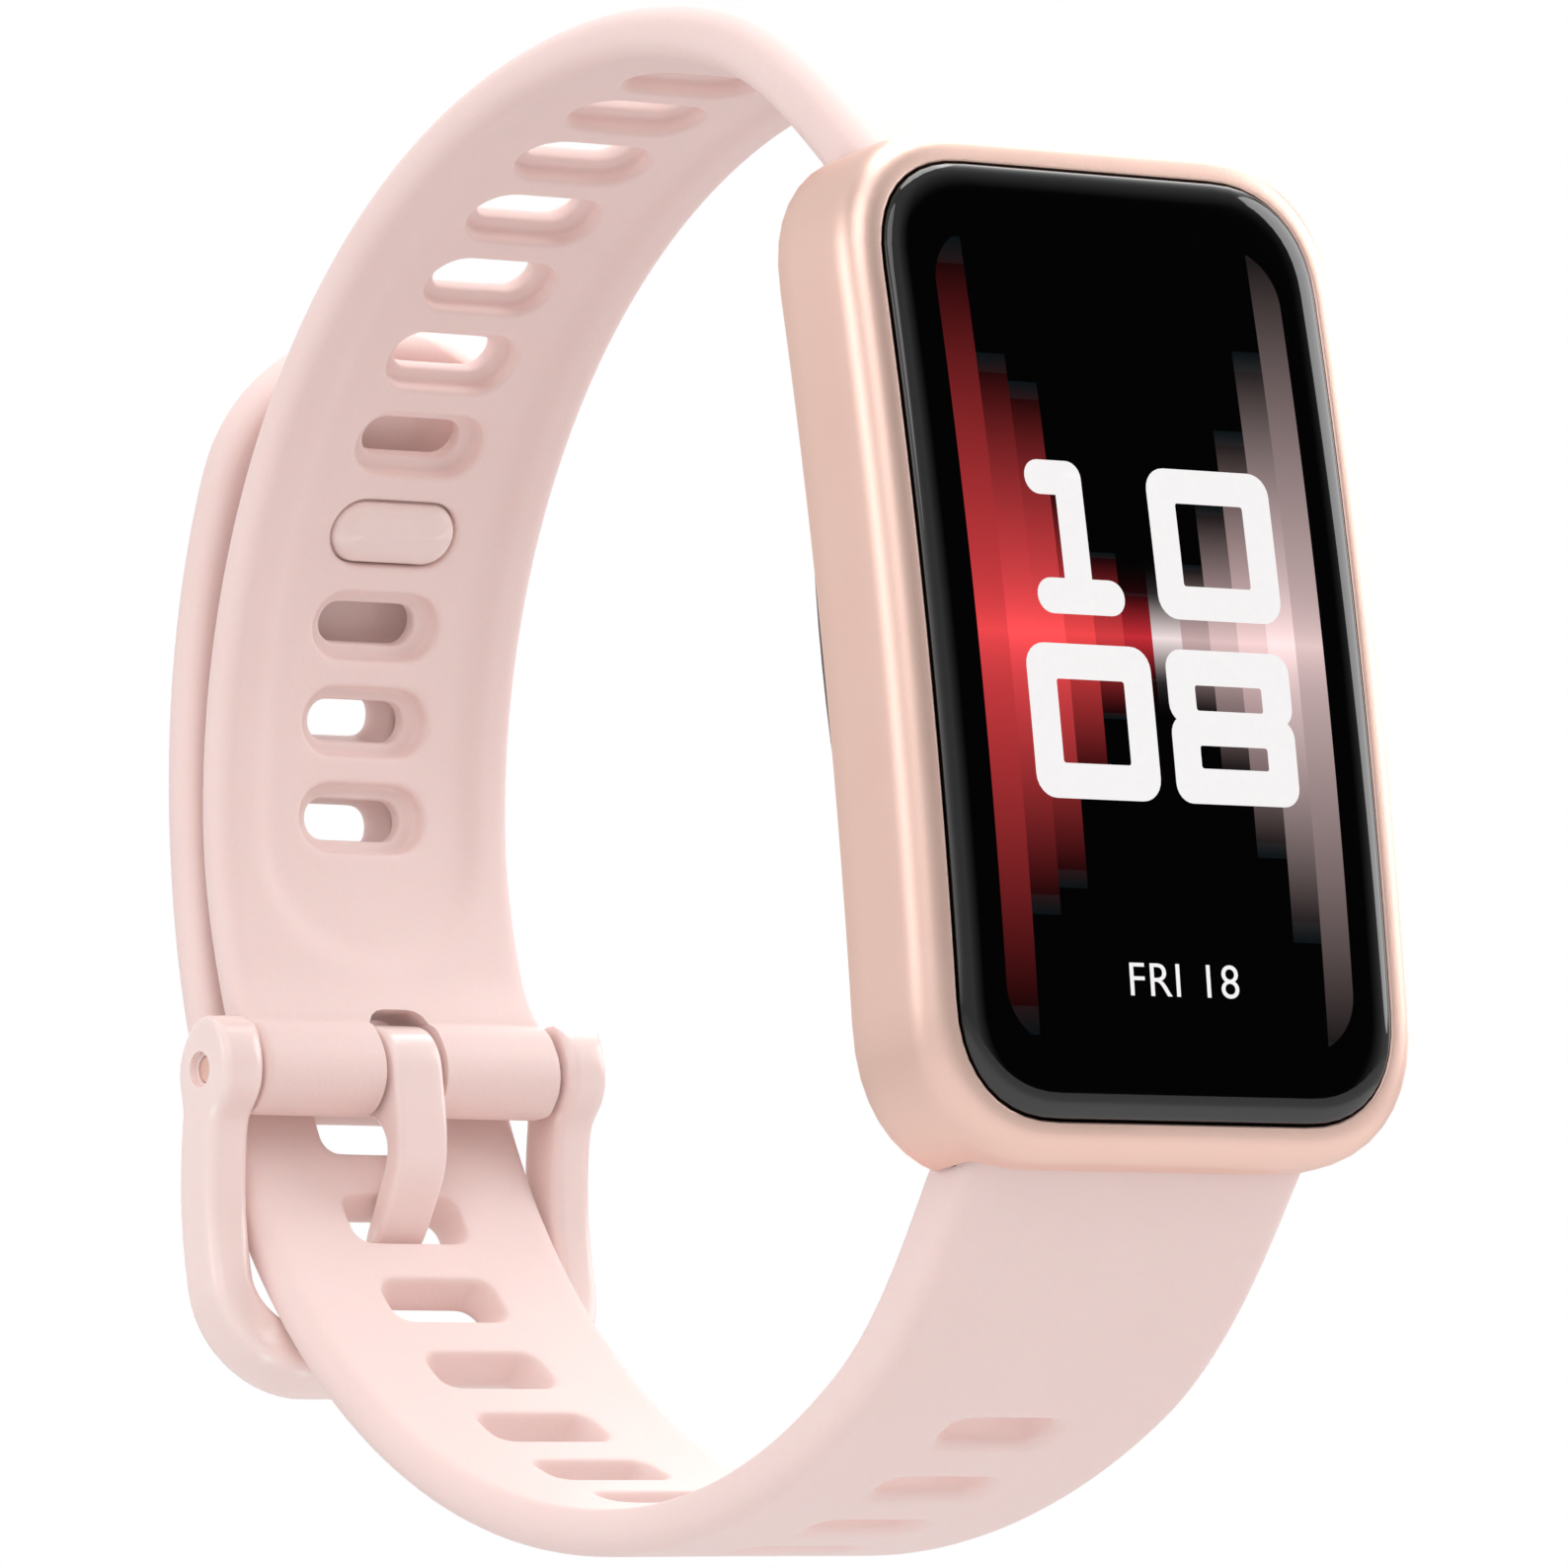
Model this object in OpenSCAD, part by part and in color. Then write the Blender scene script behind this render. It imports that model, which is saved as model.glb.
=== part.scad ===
// Fitness tracker band, buckled as worn.
// Frame: +X along the wrist, -Y out of the screen, +Z up along the case.
// The origin is the centre of the strap loop, where the wrist goes. Millimetres.

/* [Case] */
// Width of the case across the screen
case_w = 24.9; // [23:0.1:30]
// Length of the case along the band
case_h = 42.1; // [40:0.1:51]
// Depth of the metal side wall
frame_depth = 5.1; // [4.8:0.1:7]
// Depth from the middle of the face to the top of the rear dome
case_depth = 9; // [8.8:0.1:11]
// Radius of the case corners seen from the front
case_corner_r = 6; // [5:0.1:8]
// Radius of the bow of the face along the case
face_bow_r = 238; // [150:1:400]
// Width of the metal lip around the glass
bezel_w = 1.6; // [1.3:0.05:2.2]
// Thickness of the side walls
wall_t = 1.3; // [1.1:0.05:1.8]
// Thickness of the rear cover
cover_t = 1; // [0.8:0.05:1.2]

/* [Display] */
// Gap all round the glass
glass_gap = 0.08; // [0.05:0.01:0.15]
// Rise of the glass over the lip
glass_rise = 0.35; // [0.2:0.05:0.5]
// Depth from the face to the flat back of the glass
glass_back = 1.7; // [1.5:0.05:2]
// Thickness of the adhesive under the glass edge
adhesive_t = 0.2; // [0.1:0.05:0.3]
// Width of the ledge that carries the glass edge
ledge_w = 1.3; // [1.1:0.1:1.6]
// Thickness of the display panel
panel_t = 0.8; // [0.6:0.05:0.9]

/* [Strap] */
// Radius of the strap's middle layer around the wrist
loop_r = 30.5; // [29.5:0.5:37]
// Width of both straps around the wrist
strap_w = 15.5; // [12.9:0.1:17]
// Width of both straps where they enter the case
strap_root_w = 17.2; // [16.5:0.1:17.4]
// Thickness of both straps around the wrist
strap_t = 2; // [1.8:0.1:2.2]
// Thickness of both straps where they enter the case
strap_root_t = 2.8; // [2.6:0.1:2.9]
// Gap between the upper strap and the tail that lies over it
tail_gap = 0.6; // [0.4:0.1:1]
// Radius of the rounded strap edges
strap_edge_r = 0.9; // [0.5:0.05:0.9]
// Distance between the stepped holes of the upper strap
hole_pitch = 4.3; // [4.1:0.1:4.8]
// Number of stepped holes in the upper strap
hole_count = 11; // [5:1:11]
// Distance between the tongue slots of the lower strap
slot_pitch = 4.8; // [4.5:0.1:5.2]
// Width of the lead-in around a tongue slot
slot_lead = 0.35; // [0.3:0.05:0.5]
// Number of tongue slots in the lower strap
slot_count = 16; // [8:1:16]
// Depth of the shallow channel inside the upper strap
channel_depth = 0.4; // [0.2:0.05:0.5]
// Width of that channel
channel_w = 11.2; // [8:0.1:12]

/* [Buckle] */
// Radius of the steel hinge pin
pin_r = 0.55; // [0.45:0.05:0.7]
// Radius of the hinge barrel at the end of the upper strap
barrel_r = 1.9; // [1.6:0.1:2.1]
// Width of each arm of the buckle frame
arm_w = 2.1; // [1.6:0.1:2.5]
// Thickness of the buckle frame, seen from the side
frame_t = 2.8; // [2:0.1:3.4]
// Drop from the hinge pin to the middle of the crossbar
frame_drop = 12.6; // [12:0.1:15.2]
// Width of the tongue
tongue_w = 2.6; // [2:0.1:3]
// Thickness of the tongue
tongue_t = 1.2; // [1:0.1:1.4]

/* [Fits] */
// Radial clearance of a pin that turns in its bore
running_gap = 0.05; // [0.03:0.01:0.1]
// Side clearance between parts that slide or swing past each other
side_gap = 0.2; // [0.15:0.01:0.3]

/* [Button and bars] */
// Length of the side button
button_l = 9; // [6:0.5:12]
// Width of the side button
button_w = 2; // [1.6:0.1:2.4]
// Travel of the side button
button_travel = 0.25; // [0.15:0.01:0.3]
// Radius of the spring bar sleeves
sleeve_r = 0.75; // [0.6:0.05:0.85]
// Radius of the spring bar tips
tip_r = 0.4; // [0.3:0.05:0.45]
// Length of a tip inside the case
tip_l = 0.65; // [0.5:0.05:0.7]
// Travel of the release knob
release_travel = 0.8; // [0.75:0.05:1]

/* [Hidden] */
$fn = 48;
FINE = 180;
SLIM = 24;

// ---- colours ----
ROSE = [0.86, 0.66, 0.58];
PINK = [0.93, 0.79, 0.77];
GLOSS_PINK = [0.95, 0.8, 0.78];
BLACK = [0.05, 0.05, 0.06];
STEEL = [0.75, 0.75, 0.77];
GOLD = [0.83, 0.68, 0.35];
BOARD = [0.06, 0.22, 0.14];

// ---- where the case sits on the loop ----
end_wall_t = 1.15;                            // from the case's end to the spring bar's axis
root_inset = 1.27;                            // how far the bar sits inside the strap's circle
root_z = case_h / 2 - end_wall_t;             // spring bar axis, seen along the wrist
root_loop_r = loop_r - root_inset;
root_y = -sqrt(root_loop_r * root_loop_r - root_z * root_z);
bar_depth = 4.8;                              // bar axis behind the middle of the face
face_y = root_y - bar_depth;                  // middle of the face, on the lip
glass_w = case_w - 2 * bezel_w;
glass_h = case_h - 2 * bezel_w;
glass_r = case_corner_r - bezel_w;
ledge_y = glass_back + adhesive_t;
inner_w = case_w - 2 * wall_t;
inner_h = 2 * (root_z - 2.2);                 // between the two end walls
inner_r = case_corner_r - wall_t - 1;
window_w = glass_w - 2 * ledge_w;
window_h = glass_h - 2 * ledge_w - 0.9;
window_r = 2.8;
chassis_y = ledge_y + 0.9;                    // back of the ledge, front of the chassis
chassis_t = 0.6;

// ---- rear cover ----
cover_gap = 0.1;
cover_w = inner_w + 0.3;
cover_h = inner_h + 0.3;
cover_r = inner_r;
gasket_t = 0.3;
cover_y = frame_depth - 0.6;                  // front edge of the cover
dome_drop_x = 1.995;                          // fall of the dome from its top to the cover's long edges
dome_drop_z = 2.717;                          // fall of the dome from its top to the cover's short edges
dome_x_r = bow_radius(cover_w, dome_drop_x);  // bow of the rear dome across the case
dome_z_r = bow_radius(cover_h, dome_drop_z);  // bow of the rear dome along the case
// radius of an arc over a chord that rises by a given height
function bow_radius(chord, rise) = (chord * chord / 4 + rise * rise) / (2 * rise);

// ---- inside the case ----
side_room = 2.65;                             // from the battery to the side walls
battery_top = 1.8;
battery_low = -inner_h / 2 + 3.9;
battery_w = inner_w - 2 * side_room;
battery_h = battery_top - battery_low;
battery_t = 2.6;
battery_z = (battery_top + battery_low) / 2;
tape_t = 0.1;
battery_y = chassis_y + chassis_t + tape_t;
board_low = 3.4;
board_top = inner_h / 2 - 1.3;
board_w = inner_w - 3.7;
board_h = board_top - board_low;
board_z = (board_top + board_low) / 2;
board_t = 0.8;
post_h = 0.7;
board_y = chassis_y + chassis_t + post_h;
motor_r = 3;
motor_h = 1.7;
motor_wall = 0.2;
motor_x = -5.2;
motor_z = 8.3;
sensor_r = 5;
sensor_board_t = 0.5;
sensor_board_y = battery_y + battery_t + 0.2;
barrier_h = 0.8;
window_hole_r = 4.5;
contact_x = 2.7;
contact_z = -10.4;
contact_r = 0.8;

// ---- side button ----
button_z = 9;
button_y = (chassis_y + cover_y) / 2;         // depth of the button's axis
button_proud = 0.35;
button_cap_t = 0.7;
stem_r = 0.6;
seal_r = 0.9;
clip_r = 0.8;
clip_t = 0.25;

// ---- straps ----
root_angle = atan2(root_z, root_y);
pin_angle = -13.76;
pin_inset = 0.64;                             // how far the pin sits inside the strap's circle
strap_pin = (loop_r - pin_inset) * [cos(pin_angle), sin(pin_angle)];   // hinge pin along the wrist
tail_r = loop_r + strap_t + tail_gap;
tail_end_angle = 47;
tail_lift = 0.7;
first_hole_angle = 8.4;
stud_hole = 3;
hole_l = 6.5;
hole_w = 3;
hole_step = 0.75;
through_l = 5;
through_w = 1.8;
tongue_slot_angle = atan2(strap_pin[1] - 7.4, strap_pin[0] + 2.24);   // where the tongue meets the strap
slot_l = 5.8;
slot_w = 2.3;
slots_past_tongue = 5;                        // slots between the tongue and the tail's tip

// ---- buckle ----
inner_frame_w = strap_w + 2 * side_gap + 0.1;
outer_frame_w = inner_frame_w + 2 * arm_w;
frame_bow_r = 18.1;                           // bow of the arms, seen from the side
frame_gap = 0.2;                              // from the strap's outer face to the frame's crossbar
head_lead = 0.116;                            // how far the arms' middle line passes inside the pin
crossbar_r = tail_r + strap_t / 2 + frame_gap + frame_t / 2;
crossbar_z = strap_pin[1] - frame_drop;
crossbar = [sqrt(crossbar_r * crossbar_r - crossbar_z * crossbar_z), crossbar_z];
frame_reach = norm(crossbar - strap_pin);
frame_way = (crossbar - strap_pin) / frame_reach;
bow_along = (pow(frame_bow_r + head_lead, 2) - pow(frame_bow_r, 2) + pow(frame_reach, 2)) / (2 * frame_reach);
bow_off = sqrt(pow(frame_bow_r + head_lead, 2) - pow(bow_along, 2));
frame_bow_y = strap_pin[0] + bow_along * frame_way[0] + bow_off * frame_way[1];
frame_bow_z = strap_pin[1] + bow_along * frame_way[1] - bow_off * frame_way[0];
frame_corner_r = 4.6;
head_r = barrel_r + 0.15;
pin_recess = 0.4;
pin_l = outer_frame_w - 2 * pin_recess;
notch_w = tongue_w + 2 * side_gap + 0.2;

// ---- helpers ----
// a plate that lies parallel to the face, from depth d0 to depth d1
module plate(d0, d1) {
    translate([0, face_y + d1, 0]) rotate([90, 0, 0]) linear_extrude(d1 - d0) children();
}
module round_rect(w, h, r) {
    square([w - 2 * r, h], center = true);
    square([w, h - 2 * r], center = true);
    for (x = [-1, 1], z = [-1, 1])
        translate([x * (w / 2 - r), z * (h / 2 - r)]) circle(r);
}
// a bar along X
module x_bar(x0, x1, r, y, z, fn = $fn) {
    translate([x0, y, z]) rotate([0, 90, 0]) cylinder(h = x1 - x0, r = r, $fn = fn);
}
// a bar along the depth of the case, from depth d0 to depth d1
module depth_bar(d0, d1, r, x, z, fn = $fn) {
    translate([x, face_y + d1, z]) rotate([90, 0, 0]) cylinder(h = d1 - d0, r = r, $fn = fn);
}
// everything behind the bowed face at depth d
module behind_face(d) {
    x_bar(-case_w, case_w, face_bow_r - d, face_y + face_bow_r, 0, 720);
}
// everything in front of the rear dome, lowered by d
module under_dome(d) {
    intersection() {
        x_bar(-case_w, case_w, dome_z_r - d, face_y + case_depth - dome_z_r, 0, 360);
        translate([0, face_y + case_depth - dome_x_r, -case_h])
            cylinder(h = 2 * case_h, r = dome_x_r - d, $fn = 360);
    }
}
// a pill that lies along X, w by h, thickness t along +Z
module pill(w, h, t) {
    linear_extrude(t) {
        square([w - h, h], center = true);
        for (x = [-1, 1]) translate([x * (w - h) / 2, 0]) circle(h / 2, $fn = SLIM);
    }
}
// places a shape on the strap at an angle and a radius, its +Z pointing away from the wrist
module on_strap(a, r) {
    translate([0, r * cos(a), r * sin(a)]) rotate([a - 90, 0, 0]) children();
}

// ---- strap curve ----
function ease(t) = let (u = max(0, min(1, t))) u * u * (3 - 2 * u);
// 0 at the case, 1 once the strap has left it, over a given angle
function away(a, span) = ease((root_angle - abs(a)) / span);
function root_pull(a) = (loop_r - root_loop_r) * (1 - away(a, 24));
function upper_r(a) = loop_r - root_pull(a) - 0.5 * ease((8 - a) / (8 - pin_angle));
function lower_r(a) =
    loop_r - root_pull(a) + (tail_r - loop_r) * ease((a + 125) / 110) + tail_lift * ease(a / 40);
function strap_width(a) = strap_root_w + (strap_w - strap_root_w) * away(a, 55);
function strap_thick(a) = strap_root_t + (strap_t - strap_root_t) * away(a, 55);
function tip_width(a) =
    let (u = max(0, (a - tail_end_angle) * tail_r * PI / 180 / (strap_w / 2) + 1))
    sqrt(max(0.004, 1 - u * u));
// a rounded section with four points to a corner
function section(w, t) =
    let (e = min(strap_edge_r, t / 2 - 0.05, w / 2 - 0.005))
    [for (c = [[1, 1, 0], [-1, 1, 90], [-1, -1, 180], [1, -1, 270]], i = [0:3])
        let (q = c[2] + 30 * i)
        [c[0] * (w / 2 - e) + e * cos(q), c[1] * (t / 2 - e) + e * sin(q)]];
function ring(a, r, w, t) = [for (p = section(w, t)) [p[0], (r + p[1]) * cos(a), (r + p[1]) * sin(a)]];
// a closed skin over rings of n points
module skin(rings) {
    n = len(rings[0]);
    m = len(rings);
    polyhedron(
        points = [for (g = rings) each g],
        faces = concat(
            [[for (i = [0:n - 1]) i]],
            [for (j = [0:m - 2], i = [0:n - 1], half = [0, 1])
                let (k = (i + 1) % n, a = j * n, b = a + n)
                half == 0 ? [b + k, a + k, a + i] : [b + i, b + k, a + i]],
            [[for (i = [0:n - 1]) m * n - 1 - i]]),
        convexity = 6);
}
// angle of a tongue slot, counted from the one that holds the tongue towards the case
function slot_angle(k) =
    k == 0 ? tongue_slot_angle
    : k > 0 ? slot_angle(k - 1) - slot_pitch / lower_r(slot_angle(k - 1)) * 180 / PI
    : slot_angle(k + 1) + slot_pitch / lower_r(slot_angle(k + 1)) * 180 / PI;
function hole_angle(k) = first_hole_angle + k * hole_pitch / loop_r * 180 / PI;

// ---- case ----
module case_frame() {
    mouth_w = strap_root_w + 2 * side_gap;
    mouth_d = bar_depth - strap_root_t / 2 - side_gap;
    color(ROSE) difference() {
        intersection() {
            plate(-1, case_depth) round_rect(case_w, case_h, case_corner_r);
            behind_face(0);
        }
        behind_face(frame_depth);
        plate(-2, ledge_y)
            round_rect(glass_w + 2 * glass_gap, glass_h + 2 * glass_gap, glass_r + glass_gap);
        plate(-2, case_depth) round_rect(window_w, window_h, window_r);
        plate(chassis_y, case_depth) round_rect(inner_w, inner_h, inner_r);
        plate(cover_y, case_depth)
            round_rect(cover_w + 2 * cover_gap, cover_h + 2 * cover_gap, cover_r + cover_gap);
        for (s = [-1, 1]) {
            translate([-mouth_w / 2, face_y + mouth_d, s > 0 ? root_z : -root_z - 3])
                cube([mouth_w, case_depth, 3]);
            x_bar(-mouth_w / 2, mouth_w / 2, strap_root_t / 2 + side_gap, root_y, s * root_z);
            translate([-mouth_w / 2, root_y, s * root_z - strap_root_t / 2 - side_gap])
                cube([mouth_w, case_depth, strap_root_t + 2 * side_gap]);
            x_bar(-mouth_w / 2 - tip_l - 0.1, mouth_w / 2 + tip_l + 0.1,
                  tip_r + running_gap, root_y, s * root_z, SLIM);
            knob_slot(s, root_loop_r - strap_root_t / 2 - knob_proud - side_gap);
        }
        translate([case_w / 2 - button_cap_t + button_proud - button_travel - 0.05,
                   face_y + button_y, button_z])
            rotate([90, 0, 90]) rotate([0, 0, 90])
            pill(button_l + 2 * running_gap, button_w + 2 * running_gap, 3);
        x_bar(0, case_w, stem_r + running_gap, face_y + button_y, button_z, SLIM);
        x_bar(case_w / 2 - button_cap_t + button_proud - button_travel - 0.25, case_w, seal_r,
              face_y + button_y, button_z, SLIM);
    }
}
module rear_cover() {
    color(BLACK) difference() {
        intersection() {
            plate(cover_y + gasket_t, case_depth + 1) round_rect(cover_w, cover_h, cover_r);
            under_dome(0);
        }
        intersection() {
            plate(0, case_depth) round_rect(inner_w - 1.6, inner_h - 1.6, inner_r - 0.8);
            under_dome(cover_t);
        }
        depth_bar(0, case_depth + 1, window_hole_r, 0, 0);
        for (s = [-1, 1])
            depth_bar(0, case_depth + 1, contact_r, s * contact_x, contact_z, SLIM);
    }
}
module rear_gasket() {
    color("dimgray") plate(cover_y, cover_y + gasket_t) difference() {
        round_rect(cover_w, cover_h, cover_r);
        round_rect(inner_w - 1.6, inner_h - 1.6, inner_r - 0.8);
    }
}
module cover_glass() {
    color([0.02, 0.02, 0.025]) {
        intersection() {
            plate(-1, glass_back) round_rect(glass_w, glass_h, glass_r);
            behind_face(-0.05);
        }
        intersection() {
            plate(-1, glass_back) round_rect(glass_w - 1.2, glass_h - 1.2, glass_r - 0.6);
            behind_face(-glass_rise);
        }
    }
}
module display_adhesive() {
    color("black") plate(glass_back, ledge_y) difference() {
        round_rect(glass_w, glass_h, glass_r);
        round_rect(window_w, window_h, window_r);
    }
}
module display_panel() {
    color("midnightblue") plate(glass_back, glass_back + panel_t)
        round_rect(window_w - 0.4, window_h - 0.4, window_r - 0.2);
}
module foam_pad() {
    color("gray") plate(glass_back + panel_t, chassis_y)
        round_rect(window_w - 2, window_h - 2, window_r - 1);
}

// ---- inside ----
post_x = board_w / 2 - 1.7;
post_z = board_top - 1.4;
POSTS = [[-post_x, post_z], [post_x, post_z], [0, board_low + 1.2]];
stem_x = case_w / 2 - wall_t - 0.5;           // inner end of the button's stem
clip_x = case_w / 2 - wall_t - 0.4;           // its retaining clip
module chassis() {
    color("silver") difference() {
        union() {
            plate(chassis_y, chassis_y + chassis_t)
                round_rect(inner_w - 0.3, inner_h - 0.3, inner_r - 0.15);
            for (p = POSTS)
                depth_bar(chassis_y, board_y, 1.1, p[0], p[1], SLIM);
        }
        for (p = POSTS) depth_bar(chassis_y - 1, board_y + 1, 0.4, p[0], p[1], SLIM);
        translate([-5, face_y, battery_low - 0.1]) cube([10, case_depth, 1]);
        translate([stem_x - button_travel - side_gap, face_y, button_z - clip_r - side_gap])
            cube([case_w, case_depth, 2 * (clip_r + side_gap)]);
    }
}
module chassis_screw(p) {
    color(STEEL) {
        depth_bar(chassis_y + 0.1, board_y + board_t, 0.4, p[0], p[1], SLIM);
        difference() {
            depth_bar(board_y + board_t, board_y + board_t + 0.4, 0.8, p[0], p[1], SLIM);
            translate([p[0] - 1, face_y + board_y + board_t + 0.25, p[1] - 0.1]) cube([2, 1, 0.2]);
        }
    }
}
module chassis_screw_1() chassis_screw(POSTS[0]);
module chassis_screw_2() chassis_screw(POSTS[1]);
module chassis_screw_3() chassis_screw(POSTS[2]);
module main_board() {
    color(BOARD) difference() {
        plate(board_y, board_y + board_t) translate([0, board_z]) round_rect(board_w, board_h, 2);
        for (p = POSTS) depth_bar(0, case_depth, 0.4, p[0], p[1], SLIM);
    }
}
// a box on the back of the board
module on_board(x, z, w, h, t) {
    translate([x - w / 2, face_y + board_y + board_t, z - h / 2]) cube([w, t, h]);
}
module processor_chip() { color(BLACK) on_board(3.4, 8.6, 4, 4, 0.7); }
module memory_chip() { color(BLACK) on_board(7.2, 10, 2.4, 3, 0.6); }
module shield_can() {
    color(STEEL) difference() {
        on_board(0.4, board_top - 3.2, 9, 3.2, 0.7);
        on_board(0.4, board_top - 3.2, 8.6, 2.8, 0.55);
    }
}
module battery() {
    color("lightsteelblue") {
        plate(battery_y, battery_y + battery_t)
            translate([0, battery_z]) round_rect(battery_w, battery_h, 1.2);
        translate([-3, face_y + battery_y + 0.6, battery_z + battery_h / 2])
            cube([6, 0.8, 0.6]);
    }
}
module battery_tape() {
    color("white") plate(battery_y - tape_t, battery_y)
        translate([0, battery_z]) round_rect(battery_w - 2, battery_h - 2, 1);
}
module motor_can() {
    b = board_y + board_t;
    color(STEEL) difference() {
        depth_bar(b, b + motor_h, motor_r, motor_x, motor_z);
        depth_bar(b + motor_wall, b + motor_h - motor_wall, motor_r - motor_wall, motor_x, motor_z);
    }
}
module motor_shaft() {
    b = board_y + board_t;
    color(STEEL) depth_bar(b + motor_wall, b + motor_h - motor_wall, 0.3, motor_x, motor_z, SLIM);
}
module motor_rotor() {
    b = board_y + board_t;
    color("goldenrod") intersection() {
        difference() {
            depth_bar(b + motor_wall + 0.15, b + motor_h - motor_wall - 0.15,
                      motor_r - motor_wall - 0.2, motor_x, motor_z);
            depth_bar(b, b + motor_h, 0.3 + running_gap, motor_x, motor_z, SLIM);
        }
        union() {
            translate([motor_x - motor_r, face_y, motor_z - motor_r]) cube([2 * motor_r, 9, motor_r]);
            depth_bar(b, b + motor_h, 0.9, motor_x, motor_z, SLIM);
        }
    }
}
module sensor_board() {
    color(BOARD) depth_bar(sensor_board_y, sensor_board_y + sensor_board_t, sensor_r, 0, 0);
}
// a small package on the sensor board
module on_sensor(x, z, w, h) {
    translate([x - w / 2, face_y + sensor_board_y + sensor_board_t, z - h / 2]) cube([w, 0.5, h]);
}
module sensor_led_1() { color("lime") on_sensor(0, 0.8, 1.6, 0.9); }
module sensor_led_2() { color("red") on_sensor(0, -0.8, 1.6, 0.9); }
module photodiode_1() { color("darkslateblue") on_sensor(-2.9, 0, 1.6, 2.4); }
module photodiode_2() { color("darkslateblue") on_sensor(2.9, 0, 1.6, 2.4); }
module sensor_barrier() {
    b = sensor_board_y + sensor_board_t;
    color(BLACK) difference() {
        depth_bar(b, b + barrier_h, window_hole_r, 0, 0);
        translate([-1.2, face_y, -1.9]) cube([2.4, case_depth, 3.8]);
        for (s = [-1, 1]) translate([s * 2.9 - 1.1, face_y, -1.6]) cube([2.2, case_depth, 3.2]);
    }
}
module sensor_window() {
    b = sensor_board_y + sensor_board_t + barrier_h;
    color([0.1, 0.02, 0.03]) intersection() {
        depth_bar(b, case_depth + 1, window_hole_r - 0.02, 0, 0);
        under_dome(-0.15);
    }
}
module charge_contact(s) {
    color(GOLD) intersection() {
        depth_bar(battery_y + battery_t + 0.25, case_depth, contact_r, s * contact_x, contact_z, SLIM);
        under_dome(-0.05);
    }
}
module charge_contact_1() charge_contact(-1);
module charge_contact_2() charge_contact(1);
module contact_flex() {
    color("orange") translate([-4, face_y + battery_y + battery_t, contact_z - 1.2])
        cube([8, 0.2, 1.2 - contact_z - sensor_r - 0.1]);
}
module display_flex() {
    color("orange") {
        translate([-4, face_y + glass_back + panel_t, -window_h / 2 + 0.4]) cube([8, 0.12, 0.5]);
    }
}
module antenna() {
    w = inner_w - 6.3;
    color(GOLD) translate([-w / 2, face_y + chassis_y + chassis_t, inner_h / 2 - 0.75])
        cube([w, cover_y - chassis_y - chassis_t - 0.1, 0.2]);
}

// ---- side button ----
module button_cap() {
    x0 = case_w / 2 + button_proud - button_cap_t;
    color(ROSE) {
        translate([x0, face_y + button_y, button_z]) rotate([90, 0, 90]) rotate([0, 0, 90])
            pill(button_l, button_w, button_cap_t);
        x_bar(stem_x, x0, stem_r, face_y + button_y, button_z, SLIM);
    }
}
module button_clip() {
    color(STEEL) difference() {
        x_bar(clip_x, clip_x + clip_t, clip_r, face_y + button_y, button_z, SLIM);
        x_bar(0, case_w, stem_r, face_y + button_y, button_z, SLIM);
    }
}
module button_seal() {
    x0 = case_w / 2 - button_cap_t + button_proud - button_travel - 0.25;
    color("dimgray") difference() {
        x_bar(x0, x0 + 0.2, seal_r, face_y + button_y, button_z, SLIM);
        x_bar(0, case_w, stem_r + running_gap, face_y + button_y, button_z, SLIM);
    }
}
module button_switch() {
    x1 = stem_x - button_travel - 0.05;
    color("gray") translate([x1 - 1, face_y + chassis_y + chassis_t, button_z - 1.5])
        cube([1, button_y + 0.6 - chassis_y - chassis_t, 3]);
}

// ---- straps ----
// angles from a0 to a1 in equal steps, with both ends
function steps(a0, a1, n) = [for (i = [0:n]) a0 + (a1 - a0) * i / n];
module upper_body() {
    skin([for (a = steps(pin_angle, root_angle, 50))
        ring(a, upper_r(a), strap_width(a), strap_thick(a))]);
}
module lower_body() {
    tip_start = tail_end_angle - 16;
    skin([for (a = concat(steps(-root_angle, tip_start, 56), steps(tip_start + 2, tail_end_angle, 9)))
        ring(a, lower_r(a), strap_width(a) * tip_width(a), strap_thick(a))]);
}
// the end that plugs into the case, with the room for its spring bar; s is 1 for the upper strap
module root_barrel(s) {
    w = strap_root_w - 0.2;
    x_bar(-w / 2, w / 2, strap_root_t / 2 + 0.1, root_y, s * root_z);
}
knob_x = strap_root_w / 2 - 3.4;
knob_r = 0.5;
knob_proud = 0.55;                            // how far the knob stands out of the strap
module root_bores(s) {
    x_bar(-strap_root_w, strap_root_w, sleeve_r, root_y, s * root_z);
    knob_slot(s, root_loop_r - 4);
}
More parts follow.
